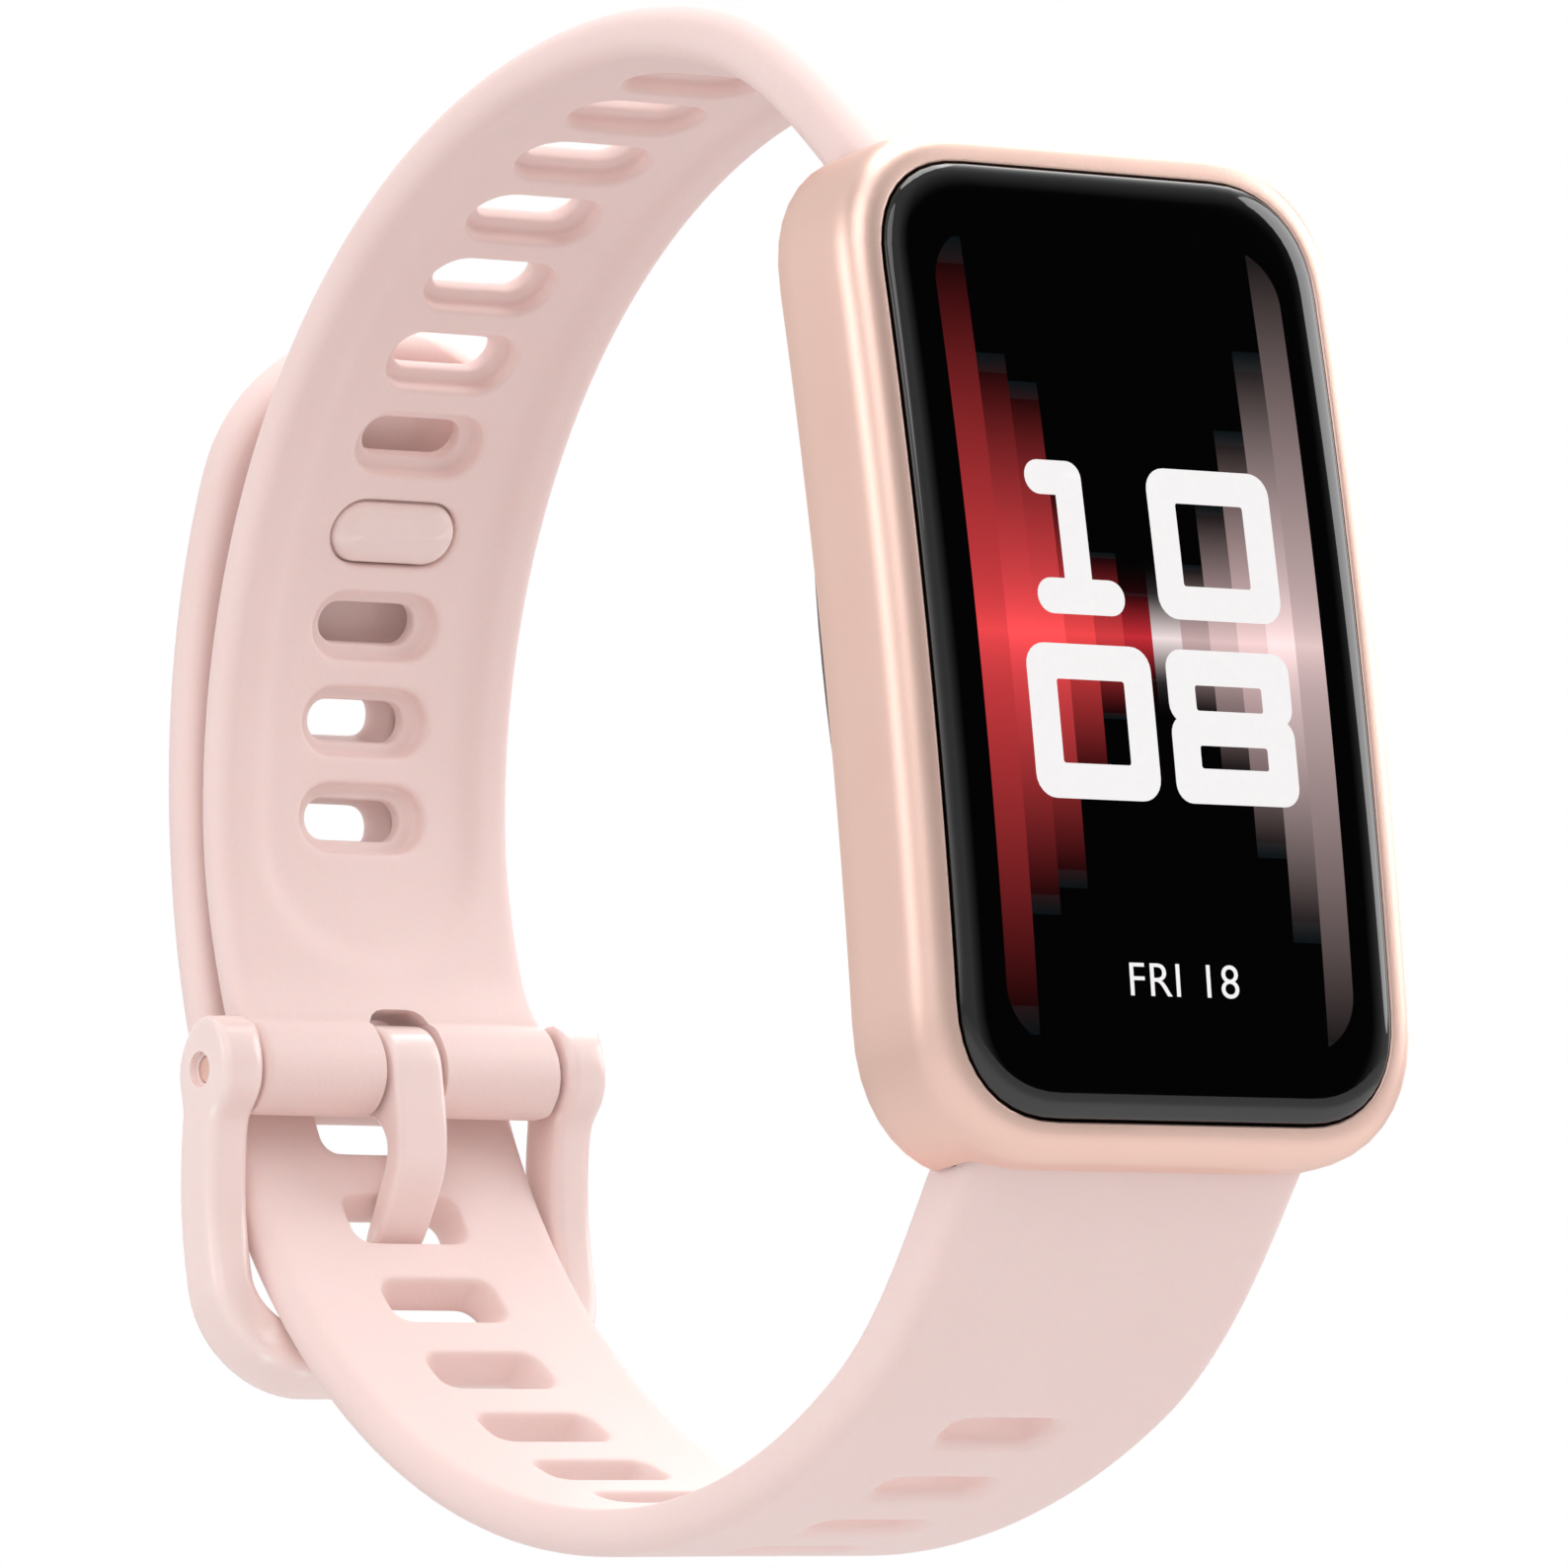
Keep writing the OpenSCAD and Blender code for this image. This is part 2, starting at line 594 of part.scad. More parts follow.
// the slot that the release knob slides in, down to radius r0 from the centre of the loop
module knob_slot(s, r0) {
    on_strap(s * root_angle, r0)
        translate([knob_x - knob_r - release_travel - 0.15, -knob_r - 0.1, 0])
        cube([2 * knob_r + release_travel + 0.3, 2 * knob_r + 0.2, root_loop_r - r0]);
}
module upper_strap() {
    color(PINK) difference() {
        union() {
            difference() {
                upper_body();
                rotate([90, 0, 90]) rotate([0, 0, -4]) rotate_extrude(angle = root_angle - 7, $fn = FINE)
                    translate([loop_r - strap_t / 2 - 4, -channel_w / 2])
                    square([4 + channel_depth, channel_w]);
            }
            root_barrel(1);
            x_bar(-strap_w / 2, strap_w / 2, barrel_r, strap_pin[0], strap_pin[1]);
        }
        root_bores(1);
        x_bar(-strap_w, strap_w, pin_r, strap_pin[0], strap_pin[1]);
        x_bar(-notch_w / 2, notch_w / 2, barrel_r + 0.45, strap_pin[0], strap_pin[1]);
        for (k = [0:hole_count - 1]) {
            on_strap(hole_angle(k), loop_r - 3) pill(through_l, through_w, 6);
            on_strap(hole_angle(k), loop_r - 3)
                pill(hole_l, hole_w, 2 + channel_depth + hole_step);
        }
    }
}
// a slot through the tail with a wider mouth on the side of the wrist
module tongue_slot(a) {
    on_strap(a, lower_r(a) - 3) pill(slot_l, slot_w, 6);
    on_strap(a, lower_r(a) - 3)
        pill(slot_l + 2 * slot_lead, slot_w + 2 * slot_lead, 3 - strap_t / 2 + slot_lead);
}
module lower_strap() {
    color(PINK) difference() {
        union() {
            lower_body();
            root_barrel(-1);
        }
        root_bores(-1);
        for (k = [-slots_past_tongue:slot_count - slots_past_tongue - 1])
            tongue_slot(slot_angle(k));
        stud_seat();
    }
}

// ---- spring bars ----
bar_l = strap_root_w;
rod_x = knob_x - 1.2;
module bar_sleeve(s) {
    color(STEEL) difference() {
        union() {
            x_bar(-bar_l / 2, bar_l / 2, sleeve_r, root_y, s * root_z);
            x_bar(-bar_l / 2 - side_gap - tip_l, 0, tip_r, root_y, s * root_z, SLIM);
        }
        x_bar(-bar_l / 4, bar_l, tip_r + running_gap, root_y, s * root_z, SLIM);
        knob_slot(s, root_loop_r - 2);
    }
}
module bar_pin(s) {
    color(STEEL) {
        x_bar(rod_x, bar_l / 2 + side_gap + tip_l, tip_r, root_y, s * root_z, SLIM);
        on_strap(s * root_angle, root_loop_r - strap_root_t / 2 - knob_proud)
            translate([knob_x, 0, 0]) cylinder(h = strap_root_t / 2 + knob_proud, r = knob_r, $fn = SLIM);
    }
}
module bar_spring(s) {
    color(STEEL) difference() {
        x_bar(-bar_l / 4, rod_x, tip_r, root_y, s * root_z, SLIM);
        x_bar(-bar_l, bar_l, tip_r - 0.12, root_y, s * root_z, SLIM);
    }
}
module upper_bar_sleeve() bar_sleeve(1);
module upper_bar_pin() bar_pin(1);
module upper_bar_spring() bar_spring(1);
module lower_bar_sleeve() bar_sleeve(-1);
module lower_bar_pin() bar_pin(-1);
module lower_bar_spring() bar_spring(-1);

// ---- buckle ----
module buckle_pin() {
    color(STEEL) x_bar(-pin_l / 2, pin_l / 2, pin_r, strap_pin[0], strap_pin[1], SLIM);
}
// the outline of the frame as seen from the wrist, between two widths and heights
module u_plan(w, low, r) {
    translate([-w / 2 + r, low]) square([w - 2 * r, 30]);
    translate([-w / 2, low + r]) square([w, 30]);
    for (x = [-1, 1]) translate([x * (w / 2 - r), low + r]) circle(r);
}
module buckle_frame() {
    low = strap_pin[1] - frame_drop - frame_t / 2;
    color(GLOSS_PINK) difference() {
        union() {
            intersection() {
                translate([0, 60, 0]) rotate([90, 0, 0]) linear_extrude(60 - frame_bow_y) difference() {
                    u_plan(outer_frame_w, low, frame_corner_r);
                    u_plan(inner_frame_w, low + frame_t, frame_corner_r - arm_w);
                }
                difference() {
                    x_bar(-20, 20, frame_bow_r + frame_t / 2, frame_bow_y, frame_bow_z, FINE);
                    x_bar(-21, 21, frame_bow_r - frame_t / 2, frame_bow_y, frame_bow_z, FINE);
                    translate([-25, -20, strap_pin[1]]) cube([50, 80, 30]);
                }
            }
            for (s = [-1, 1])
                translate([s * (inner_frame_w + arm_w) / 2, 0, 0])
                    x_bar(-arm_w / 2, arm_w / 2, head_r, strap_pin[0], strap_pin[1]);
        }
        x_bar(-20, 20, pin_r + running_gap, strap_pin[0], strap_pin[1]);
    }
}
module buckle_tongue() {
    p = strap_pin;
    y0 = p[0] - barrel_r - 0.2;                 // the tongue's face, towards the wrist
    bend = [y0 + 0.9, p[1] - 4.2];
    tip = [y0 + 3.1, p[1] - 7.6];
    color(GLOSS_PINK) difference() {
        union() {
            x_bar(-tongue_w / 2, tongue_w / 2, barrel_r + 0.2, p[0], p[1]);
            translate([-tongue_w / 2, 0, 0]) rotate([90, 0, 90]) linear_extrude(tongue_w)
                polygon([[y0, p[1]], bend, tip, tip + [0.85, 0.3], bend + [tongue_t, 0.2],
                         [y0 + tongue_t + 0.3, p[1]]]);
        }
        x_bar(-20, 20, pin_r + running_gap, p[0], p[1]);
    }
}

// ---- stud ----
stud_angle = hole_angle(stud_hole);
stud_gap = 0.15;
stud_base_t = 0.8;
module stud_seat() {
    on_strap(stud_angle, lower_r(stud_angle) - strap_t / 2 - 1)
        pill(through_l + 1.5, slot_w + 0.5, 1 + stud_base_t);
}
module strap_stud() {
    head_top = loop_r - strap_t / 2 + channel_depth - 0.1;
    head_low = loop_r - strap_t / 2 + channel_depth + hole_step - stud_gap;
    base = lower_r(stud_angle) - strap_t / 2;
    color(GLOSS_PINK) {
        on_strap(stud_angle, head_top)
            pill(hole_l - 2 * stud_gap, hole_w - 2 * stud_gap, head_low - head_top);
        on_strap(stud_angle, head_top)
            pill(through_l - 2 * stud_gap, through_w - 2 * stud_gap, base - head_top + 0.1);
        on_strap(stud_angle, base)
            pill(through_l + 1.5, slot_w + 0.5, stud_base_t);
    }
}

case_frame();
rear_cover();
rear_gasket();
cover_glass();
display_adhesive();
display_panel();
foam_pad();
chassis();
chassis_screw_1();
chassis_screw_2();
chassis_screw_3();
main_board();
processor_chip();
memory_chip();
shield_can();
battery();
battery_tape();
motor_can();
motor_rotor();
motor_shaft();
sensor_board();
sensor_led_1();
sensor_led_2();
photodiode_1();
photodiode_2();
sensor_barrier();
sensor_window();
charge_contact_1();
charge_contact_2();
contact_flex();
display_flex();
antenna();
button_cap();
button_clip();
button_seal();
button_switch();
upper_strap();
upper_bar_sleeve();
upper_bar_pin();
upper_bar_spring();
lower_strap();
lower_bar_sleeve();
lower_bar_pin();
lower_bar_spring();
buckle_pin();
buckle_frame();
buckle_tongue();
strap_stud();
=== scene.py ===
import bmesh
import bpy
from functools import partial
from math import asin, atan2, copysign, cos, degrees, hypot, pi, radians, sin, sqrt
from mathutils import Matrix, Vector


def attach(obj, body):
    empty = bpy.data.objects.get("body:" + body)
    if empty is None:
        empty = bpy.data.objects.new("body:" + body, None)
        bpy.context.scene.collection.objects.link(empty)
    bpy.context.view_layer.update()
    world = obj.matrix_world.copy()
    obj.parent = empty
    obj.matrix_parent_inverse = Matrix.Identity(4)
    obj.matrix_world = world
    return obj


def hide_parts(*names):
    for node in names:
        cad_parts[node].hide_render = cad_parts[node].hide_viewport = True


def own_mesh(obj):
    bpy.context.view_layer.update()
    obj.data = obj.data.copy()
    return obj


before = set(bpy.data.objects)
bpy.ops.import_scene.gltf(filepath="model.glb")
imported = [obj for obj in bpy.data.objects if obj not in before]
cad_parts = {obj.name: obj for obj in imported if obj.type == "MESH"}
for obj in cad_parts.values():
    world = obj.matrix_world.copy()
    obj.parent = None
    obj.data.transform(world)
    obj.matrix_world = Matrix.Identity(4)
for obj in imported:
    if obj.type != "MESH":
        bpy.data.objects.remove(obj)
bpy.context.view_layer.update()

# ---- sizes, in millimetres
MM = 0.001
CASE_W, CASE_H, FRAME_DEPTH, CASE_DEPTH, CORNER_R = 24.9, 42.1, 5.1, 9.0, 6.0
FACE_BOW_R = 238.0
BEZEL_W, GLASS_RISE = 1.6, 0.35
LEDGE_Y, CHASSIS_Y, WALL_T = 1.9, 2.8, 1.3
LOOP_R, ROOT_INSET, END_WALL = 30.5, 1.27, 1.15
ROOT_LOOP_R = LOOP_R - ROOT_INSET
ROOT_Z = CASE_H / 2 - END_WALL
ROOT_Y = -sqrt(ROOT_LOOP_R ** 2 - ROOT_Z ** 2)
ROOT_DEPTH = 4.8
FACE_Y = ROOT_Y - ROOT_DEPTH
ROOT_ANGLE = degrees(atan2(ROOT_Z, ROOT_Y))
STRAP_W, STRAP_ROOT_W, STRAP_T, STRAP_ROOT_T, EDGE_R = 15.5, 17.2, 2.0, 2.8, 0.9
CHANNEL_DEPTH, CHANNEL_W = 0.4, 11.2
TAPER_SPAN, PULL_SPAN = 55, 24
PIN_ANGLE, PIN_R, PIN_FIT, BARREL_R = -13.76, 0.55, 0.05, 1.9
PIN_LOOP_R = LOOP_R - 0.64
PIN_Y = PIN_LOOP_R * cos(radians(PIN_ANGLE))
PIN_Z = PIN_LOOP_R * sin(radians(PIN_ANGLE))
TAIL_R, TAIL_END, TAIL_LIFT = LOOP_R + STRAP_T + 0.6, 47.0, 0.7
HOLE_PITCH, FIRST_HOLE, HOLE_COUNT, STUD_HOLE = 4.3, 8.4, 11, 3
SLOT_PITCH, TONGUE_SLOT, SLOTS_PAST, SLOT_COUNT = 4.8, -24.9, 5, 16
FRAME_T, ARM_W, FRAME_DROP, FRAME_CORNER_R = 2.8, 2.1, 12.6, 4.6
INNER_FRAME_W = STRAP_W + 0.5
BOW_R, BOW_Y, BOW_Z = 18.1, PIN_Y - 16.6, PIN_Z - 7.5
TONGUE_W = 2.6
BUTTON_Z, BUTTON_DEPTH, BUTTON_LENGTH, BUTTON_W, BUTTON_FIT = 9.0, 3.65, 9.0, 2.0, 0.06
ROOT_END_R = 1.42
KNOB_X, RELEASE_TRAVEL = STRAP_ROOT_W / 2 - 3.4, 0.8
SPRING_X0, SPRING_X1, SPRING_TURNS = -STRAP_ROOT_W / 4, KNOB_X - 1.2, 17
DOME_X, DOME_Z, COVER_SKIRT = 66, 120, 4.85
SENSOR_R, CONTACT_X, CONTACT_Z, CONTACT_R = 4.44, 2.7, -10.4, 0.8
DISPLAY_W, DISPLAY_H, DISPLAY_R = 17.47, 33.15, 2.4
FLOOR_Z, FLOOR_SIZE = -125, 2500


# Angles are in degrees round the loop: 0 is the far side from the screen, and the straps end in the
# case at ROOT_ANGLE and -ROOT_ANGLE.
def ease(t):
    u = max(0.0, min(1.0, t))
    return u * u * (3 - 2 * u)


def away(a, span):
    """0 where a strap leaves the case, growing to 1 a span of degrees further on."""
    return ease((ROOT_ANGLE - abs(a)) / span)


def root_pull(a):
    return ROOT_INSET * (1 - away(a, PULL_SPAN))


def upper_r(a):
    return LOOP_R - root_pull(a) - 0.5 * ease((8 - a) / (8 - PIN_ANGLE))


def lower_r(a):
    return LOOP_R - root_pull(a) + (TAIL_R - LOOP_R) * ease((a + 125) / 110) + TAIL_LIFT * ease(a / 40)


def strap_width(a):
    return STRAP_ROOT_W + (STRAP_W - STRAP_ROOT_W) * away(a, TAPER_SPAN)


def strap_thick(a):
    return STRAP_ROOT_T + (STRAP_T - STRAP_ROOT_T) * away(a, TAPER_SPAN)


def hole_angle(k):
    return FIRST_HOLE + degrees(k * HOLE_PITCH / LOOP_R)


def slot_angles():
    found = [TONGUE_SLOT]
    for _ in range(SLOT_COUNT - SLOTS_PAST - 1):
        found.append(found[-1] - degrees(SLOT_PITCH / lower_r(found[-1])))
    for _ in range(SLOTS_PAST):
        found.insert(0, found[0] + degrees(SLOT_PITCH / lower_r(found[0])))
    return found


def smooth_max(a, b, k):
    return (a + b + sqrt((a - b) ** 2 + k * k)) / 2


# ---- rings and lofts
def first_ring(bm, pts):
    made = bmesh.ops.create_circle(bm, segments=len(pts), radius=1)["verts"]
    for v, p in zip(made, pts):
        v.co = p
    return made


def next_ring(bm, verts, pts):
    """Extrudes a closed ring of edges and puts the new ring on its points."""
    inside = set(verts)
    edges = []
    for i, v in enumerate(verts):
        w = verts[(i + 1) % len(verts)]
        edges.append(next(e for e in v.link_edges if e.other_vert(v) is w))
    made = bmesh.ops.extrude_edge_only(bm, edges=edges)["geom"]
    step = {}
    for v in made:
        if isinstance(v, bmesh.types.BMVert):
            for e in v.link_edges:
                o = e.other_vert(v)
                if o in inside:
                    step[o] = v
    out = [step[v] for v in verts]
    for v, p in zip(out, pts):
        v.co = p
    return out


def loft(bm, rings, closed=False):
    verts = first_ring(bm, rings[0])
    start = verts
    rows = [verts]
    for pts in rings[1:]:
        verts = next_ring(bm, verts, pts)
        rows.append(verts)
    if closed:
        last = next_ring(bm, verts, [v.co.copy() for v in start])
        bmesh.ops.weld_verts(bm, targetmap=dict(zip(last, start)))
    return rows


def cap(bm, verts):
    bmesh.ops.contextual_create(bm, geom=verts)


def finish_bm(bm):
    bmesh.ops.remove_doubles(bm, verts=bm.verts, dist=1e-4)
    bmesh.ops.recalc_face_normals(bm, faces=bm.faces)


def solid_loft(bm, rings):
    rows = loft(bm, rings)
    cap(bm, rows[0])
    cap(bm, rows[-1])
    finish_bm(bm)


def new_object(name, data):
    obj = bpy.data.objects.new(name, data)
    bpy.context.scene.collection.objects.link(obj)
    return obj


def to_object(name, bm, smooth=True):
    """Makes an object of a mesh drawn in millimetres."""
    bmesh.ops.scale(bm, vec=(MM, MM, MM), verts=bm.verts)
    for f in bm.faces:
        f.smooth = smooth
    mesh = bpy.data.meshes.new(name)
    bm.to_mesh(mesh)
    bm.free()
    return new_object(name, mesh)


def applied(obj):
    """Turns the object's modifiers into its mesh."""
    bpy.context.view_layer.update()
    graph = bpy.context.evaluated_depsgraph_get()
    mesh = bpy.data.meshes.new_from_object(obj.evaluated_get(graph))
    obj.modifiers.clear()
    obj.data = mesh
    return obj


def subdivided(obj):
    m = obj.modifiers.new("fine", "SUBSURF")
    m.levels = m.render_levels = 1
    return applied(obj)


def cut(obj, cutter_bm):
    cutter = to_object(obj.name + "_cutter", cutter_bm)
    m = obj.modifiers.new("cut", "BOOLEAN")
    m.operation, m.solver, m.object = "DIFFERENCE", "EXACT", cutter
    applied(obj)
    bpy.data.objects.remove(cutter)
    return obj


def sharpened(obj, degrees=35):
    obj.data.set_sharp_from_angle(angle=radians(degrees))
    return obj


def piece(obj, body, slot, material, *nodes):
    obj.data.materials.clear()
    obj.data.materials.append(material)
    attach(obj, body)
    if nodes:
        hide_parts(*nodes)
    return obj


def rounded_box(bm, lo, hi, r, axis):
    """A box whose edges along one axis are rounded."""
    made = bmesh.ops.create_cube(bm, size=1)["verts"]
    size = Vector(hi) - Vector(lo)
    bmesh.ops.scale(bm, vec=size, verts=made)
    bmesh.ops.translate(bm, vec=(Vector(lo) + Vector(hi)) / 2, verts=made)
    edges = {e for v in made for e in v.link_edges
             if abs((e.verts[0].co - e.verts[1].co).normalized()[axis]) > 0.9}
    bmesh.ops.bevel(bm, geom=list(edges), offset=r, offset_type="OFFSET", affect="EDGES",
                    segments=4, profile=0.5, material=-1)


def x_cylinder(bm, x0, x1, r, y, z):
    made = bmesh.ops.create_cone(bm, cap_ends=True, segments=48, radius1=r, radius2=r,
                                 depth=x1 - x0)["verts"]
    bmesh.ops.rotate(bm, verts=made, cent=(0, 0, 0), matrix=Matrix.Rotation(pi / 2, 3, "Y"))
    bmesh.ops.translate(bm, verts=made, vec=((x0 + x1) / 2, y, z))


def rounded_section(half_x, half_y, r, steps=5):
    """Points of a rounded rectangle about its middle, with round corners."""
    pts = []
    for sx, sy, start in ((1, 1, 0), (-1, 1, 90), (-1, -1, 180), (1, -1, 270)):
        for i in range(steps + 1):
            q = radians(start + 90 * i / steps)
            pts.append((sx * (half_x - r) + r * cos(q), sy * (half_y - r) + r * sin(q)))
    return pts


def rounded_rect(w, h, r, power=2.3):
    """Points of a rounded rectangle in x and z, with soft corners and even steps between them."""
    corner, across, along = 10, 6, 18
    pts = []
    for sx, sz, flip in ((1, 1, False), (-1, 1, True), (-1, -1, False), (1, -1, True)):
        arc = []
        for i in range(corner + 1):
            q = pi / 2 * i / corner
            arc.append((sx * (w / 2 - r + r * cos(q) ** (2 / power)),
                        sz * (h / 2 - r + r * sin(q) ** (2 / power))))
        if flip:
            arc.reverse()
        if pts:
            a, b = pts[-1], arc[0]
            n = across if abs(a[1] - b[1]) < 1e-6 else along
            pts += [(a[0] + (b[0] - a[0]) * i / n, a[1] + (b[1] - a[1]) * i / n) for i in range(1, n)]
        pts += arc
    a, b = pts[-1], pts[0]
    pts += [(a[0] + (b[0] - a[0]) * i / along, a[1] + (b[1] - a[1]) * i / along)
            for i in range(1, along)]
    return pts


def case_ring(inset, depth):
    """A ring round the case, at a depth measured from its bowed face."""
    corner = max(CORNER_R - inset, 0.6) + 0.25
    return [(x, FACE_Y + depth + z * z / (2 * FACE_BOW_R), z)
            for x, z in rounded_rect(CASE_W - 2 * inset, CASE_H - 2 * inset, corner)]


# ---- case
def make_case_frame():
    bm = bmesh.new()
    outer = [(0.18, FRAME_DEPTH), (0.05, FRAME_DEPTH - 0.05), (0, FRAME_DEPTH - 0.2), (0, 4), (0, 3),
             (0, 2), (0, 1.35), (0.02, 1.1), (0.08, 0.84), (0.19, 0.58), (0.35, 0.35), (0.56, 0.17),
             (0.8, 0.06), (1.02, 0.015), (1.2, 0), (1.38, -0.01), (1.43, -0.005), (1.49, 0.04), (1.52, 0.12),
             (1.52, 0.5), (1.52, LEDGE_Y), (2.9, LEDGE_Y), (2.9, CHASSIS_Y), (WALL_T, CHASSIS_Y),
             (WALL_T, 4.2), (1.05, 4.2), (1.05, FRAME_DEPTH)]
    loft(bm, [case_ring(*p) for p in outer], closed=True)
    finish_bm(bm)
    obj = to_object("case_frame_shell", bm)
    cutter = bmesh.new()
    half, front = STRAP_ROOT_W / 2 + 0.2, FACE_Y + 3.2
    for s in (-1, 1):
        lo, hi = sorted((s * (ROOT_Z - 1.6), s * (ROOT_Z + 6)))
        rounded_box(cutter, (-half, front, lo), (half, front + 9, hi), 0.55, axis=2)
    cut(obj, cutter)
    pocket = bmesh.new()
    button_outline(pocket, CASE_W / 2 - 0.65, CASE_W / 2 + 2, BUTTON_FIT)
    cut(obj, pocket)
    return sharpened(obj, 32)


def button_outline(bm, x0, x1, fit=0.0, soft=0.0):
    """A pill on the side of the case, from x0 out to x1: the cap with a soft edge, or its pocket."""
    length, width = BUTTON_LENGTH + 2 * fit, BUTTON_W + 2 * fit

    def ring(x, d):
        r = width / 2 - d
        pts = []
        for end in (1, -1):
            for i in range(13):
                q = pi * i / 12
                pts.append((x, FACE_Y + BUTTON_DEPTH + end * r * cos(q),
                            BUTTON_Z + end * (length / 2 - width / 2 + r * sin(q))))
        return pts
    steps = [(x0, 0)]
    if soft:
        for i in range(5):
            q = pi / 2 * i / 4
            steps.append((x1 - soft + soft * sin(q), soft * (1 - cos(q))))
        steps.append((x1 + 0.03, soft + 0.35))
    else:
        steps.append((x1, 0))
    solid_loft(bm, [ring(*p) for p in steps])


def make_glass():
    bm = bmesh.new()
    w, h, r = CASE_W - 2 * BEZEL_W, CASE_H - 2 * BEZEL_W, CORNER_R - BEZEL_W
    rise = GLASS_RISE
    steps = [(0.25, -1.6), (0.0, -1.5), (0, -0.06), (0.015, 0.03), (0.06, 0.11), (0.14, 0.175),
             (0.26, 0.232), (0.42, 0.28), (0.6, 0.312), (0.8, 0.333), (1.0, 0.344), (1.2, 0.349)]
    steps += [(inset, rise) for inset in (1.4, 2.0, 3.2, 4.6, 6.0, 7.4, 8.8, 10.2)]
    rings = []
    for inset, up in steps:
        keep = max(r - inset, 0.25) + 0.2
        rings.append([(x, FACE_Y - up + z * z / (2 * FACE_BOW_R), z)
                      for x, z in rounded_rect(w - 2 * inset, h - 2 * inset, keep)])
    rows = loft(bm, rings)
    for end in (rows[0], rows[-1]):
        cap(bm, end)
    bmesh.ops.triangulate(bm, faces=[f for f in bm.faces if len(f.verts) > 4])
    finish_bm(bm)
    return sharpened(to_object("cover_glass_domed", bm), 50)


def dome_depth(x, z):
    return CASE_DEPTH - x * x / DOME_X - z * z / DOME_Z


def make_rear_cover():
    bm = bmesh.new()
    w, h, r = CASE_W - 2 * WALL_T + 0.3, 2 * (ROOT_Z - 2.2) + 0.3, 3.7
    hole = 4.5

    def ring(inset, depth_of):
        return [(x, FACE_Y + depth_of(x, z), z)
                for x, z in rounded_rect(w - 2 * inset, h - 2 * inset, max(r - inset, 0.8), power=2.1)]

    def dome_ring(inset, down):
        return ring(inset, lambda x, z: dome_depth(x, z) - down)

    def toward_hole(t, lower=0.0):
        pts = []
        for x, z in rounded_rect(w - 1.4, h - 1.4, r - 0.7, power=2.1):
            q = atan2(z / h, x / w)
            p = Vector((x, z)).lerp(Vector((hole * cos(q), hole * sin(q))), t)
            pts.append((p.x, FACE_Y + dome_depth(p.x, p.y) - lower, p.y))
        return pts
    rings = [ring(0, lambda x, z: COVER_SKIRT), dome_ring(0, 0.75), dome_ring(0.04, 0.5),
             dome_ring(0.16, 0.26), dome_ring(0.36, 0.09)]
    rings += [toward_hole(i / 9) for i in range(9)]
    rings += [toward_hole(0.985), toward_hole(1, 0.06), toward_hole(1, 0.9), toward_hole(0.5, 1.0),
              dome_ring(0.8, 1.0), ring(0.8, lambda x, z: COVER_SKIRT)]
    loft(bm, rings, closed=True)
    finish_bm(bm)
    return sharpened(to_object("rear_cover_dome", bm), 32)


def round_on_dome(name, cx, cz, r, rise, edge, base):
    """A round cap that follows the rear dome, with a softened rim."""
    bm = bmesh.new()
    n = 64

    def ring(rr, up):
        turns = [2 * pi * i / n for i in range(n)]
        places = [(cx + rr * cos(q), cz + rr * sin(q)) for q in turns]
        return [(x, FACE_Y + dome_depth(x, z) + up, z) for x, z in places]
    rings = [ring(r, -base)]
    for i in range(5):
        q = pi / 2 * i / 4
        rings.append(ring(r - edge * (1 - cos(q)), rise - edge + edge * sin(q)))
    rings += [ring((r - edge) * t, rise) for t in (0.8, 0.55, 0.3, 0.08)]
    solid_loft(bm, rings)
    return sharpened(to_object(name, bm), 50)


# ---- straps
FACE_COLUMNS = [0.74, 1.48, 2.22, 2.96, 3.7, 4.35, 4.9, 5.3, 5.65, 6.0, 6.35]
WINDOW_X, WINDOW_S = 3.7, 1.85
EDGE_STEPS = 5


def columns(half):
    """The lengthwise lines of a strap face, from one side to the other, out to its rounded edge."""
    base = STRAP_W / 2 - EDGE_R
    pos = []
    for x in FACE_COLUMNS:
        if half >= base:
            past = max(0.0, x - WINDOW_X)
            pos.append(min(x, WINDOW_X) + past * (half - WINDOW_X) / (base - WINDOW_X))
        else:
            pos.append(x * half / base)
    pos.append(half)
    return [-x for x in reversed(pos)] + [0.0] + pos


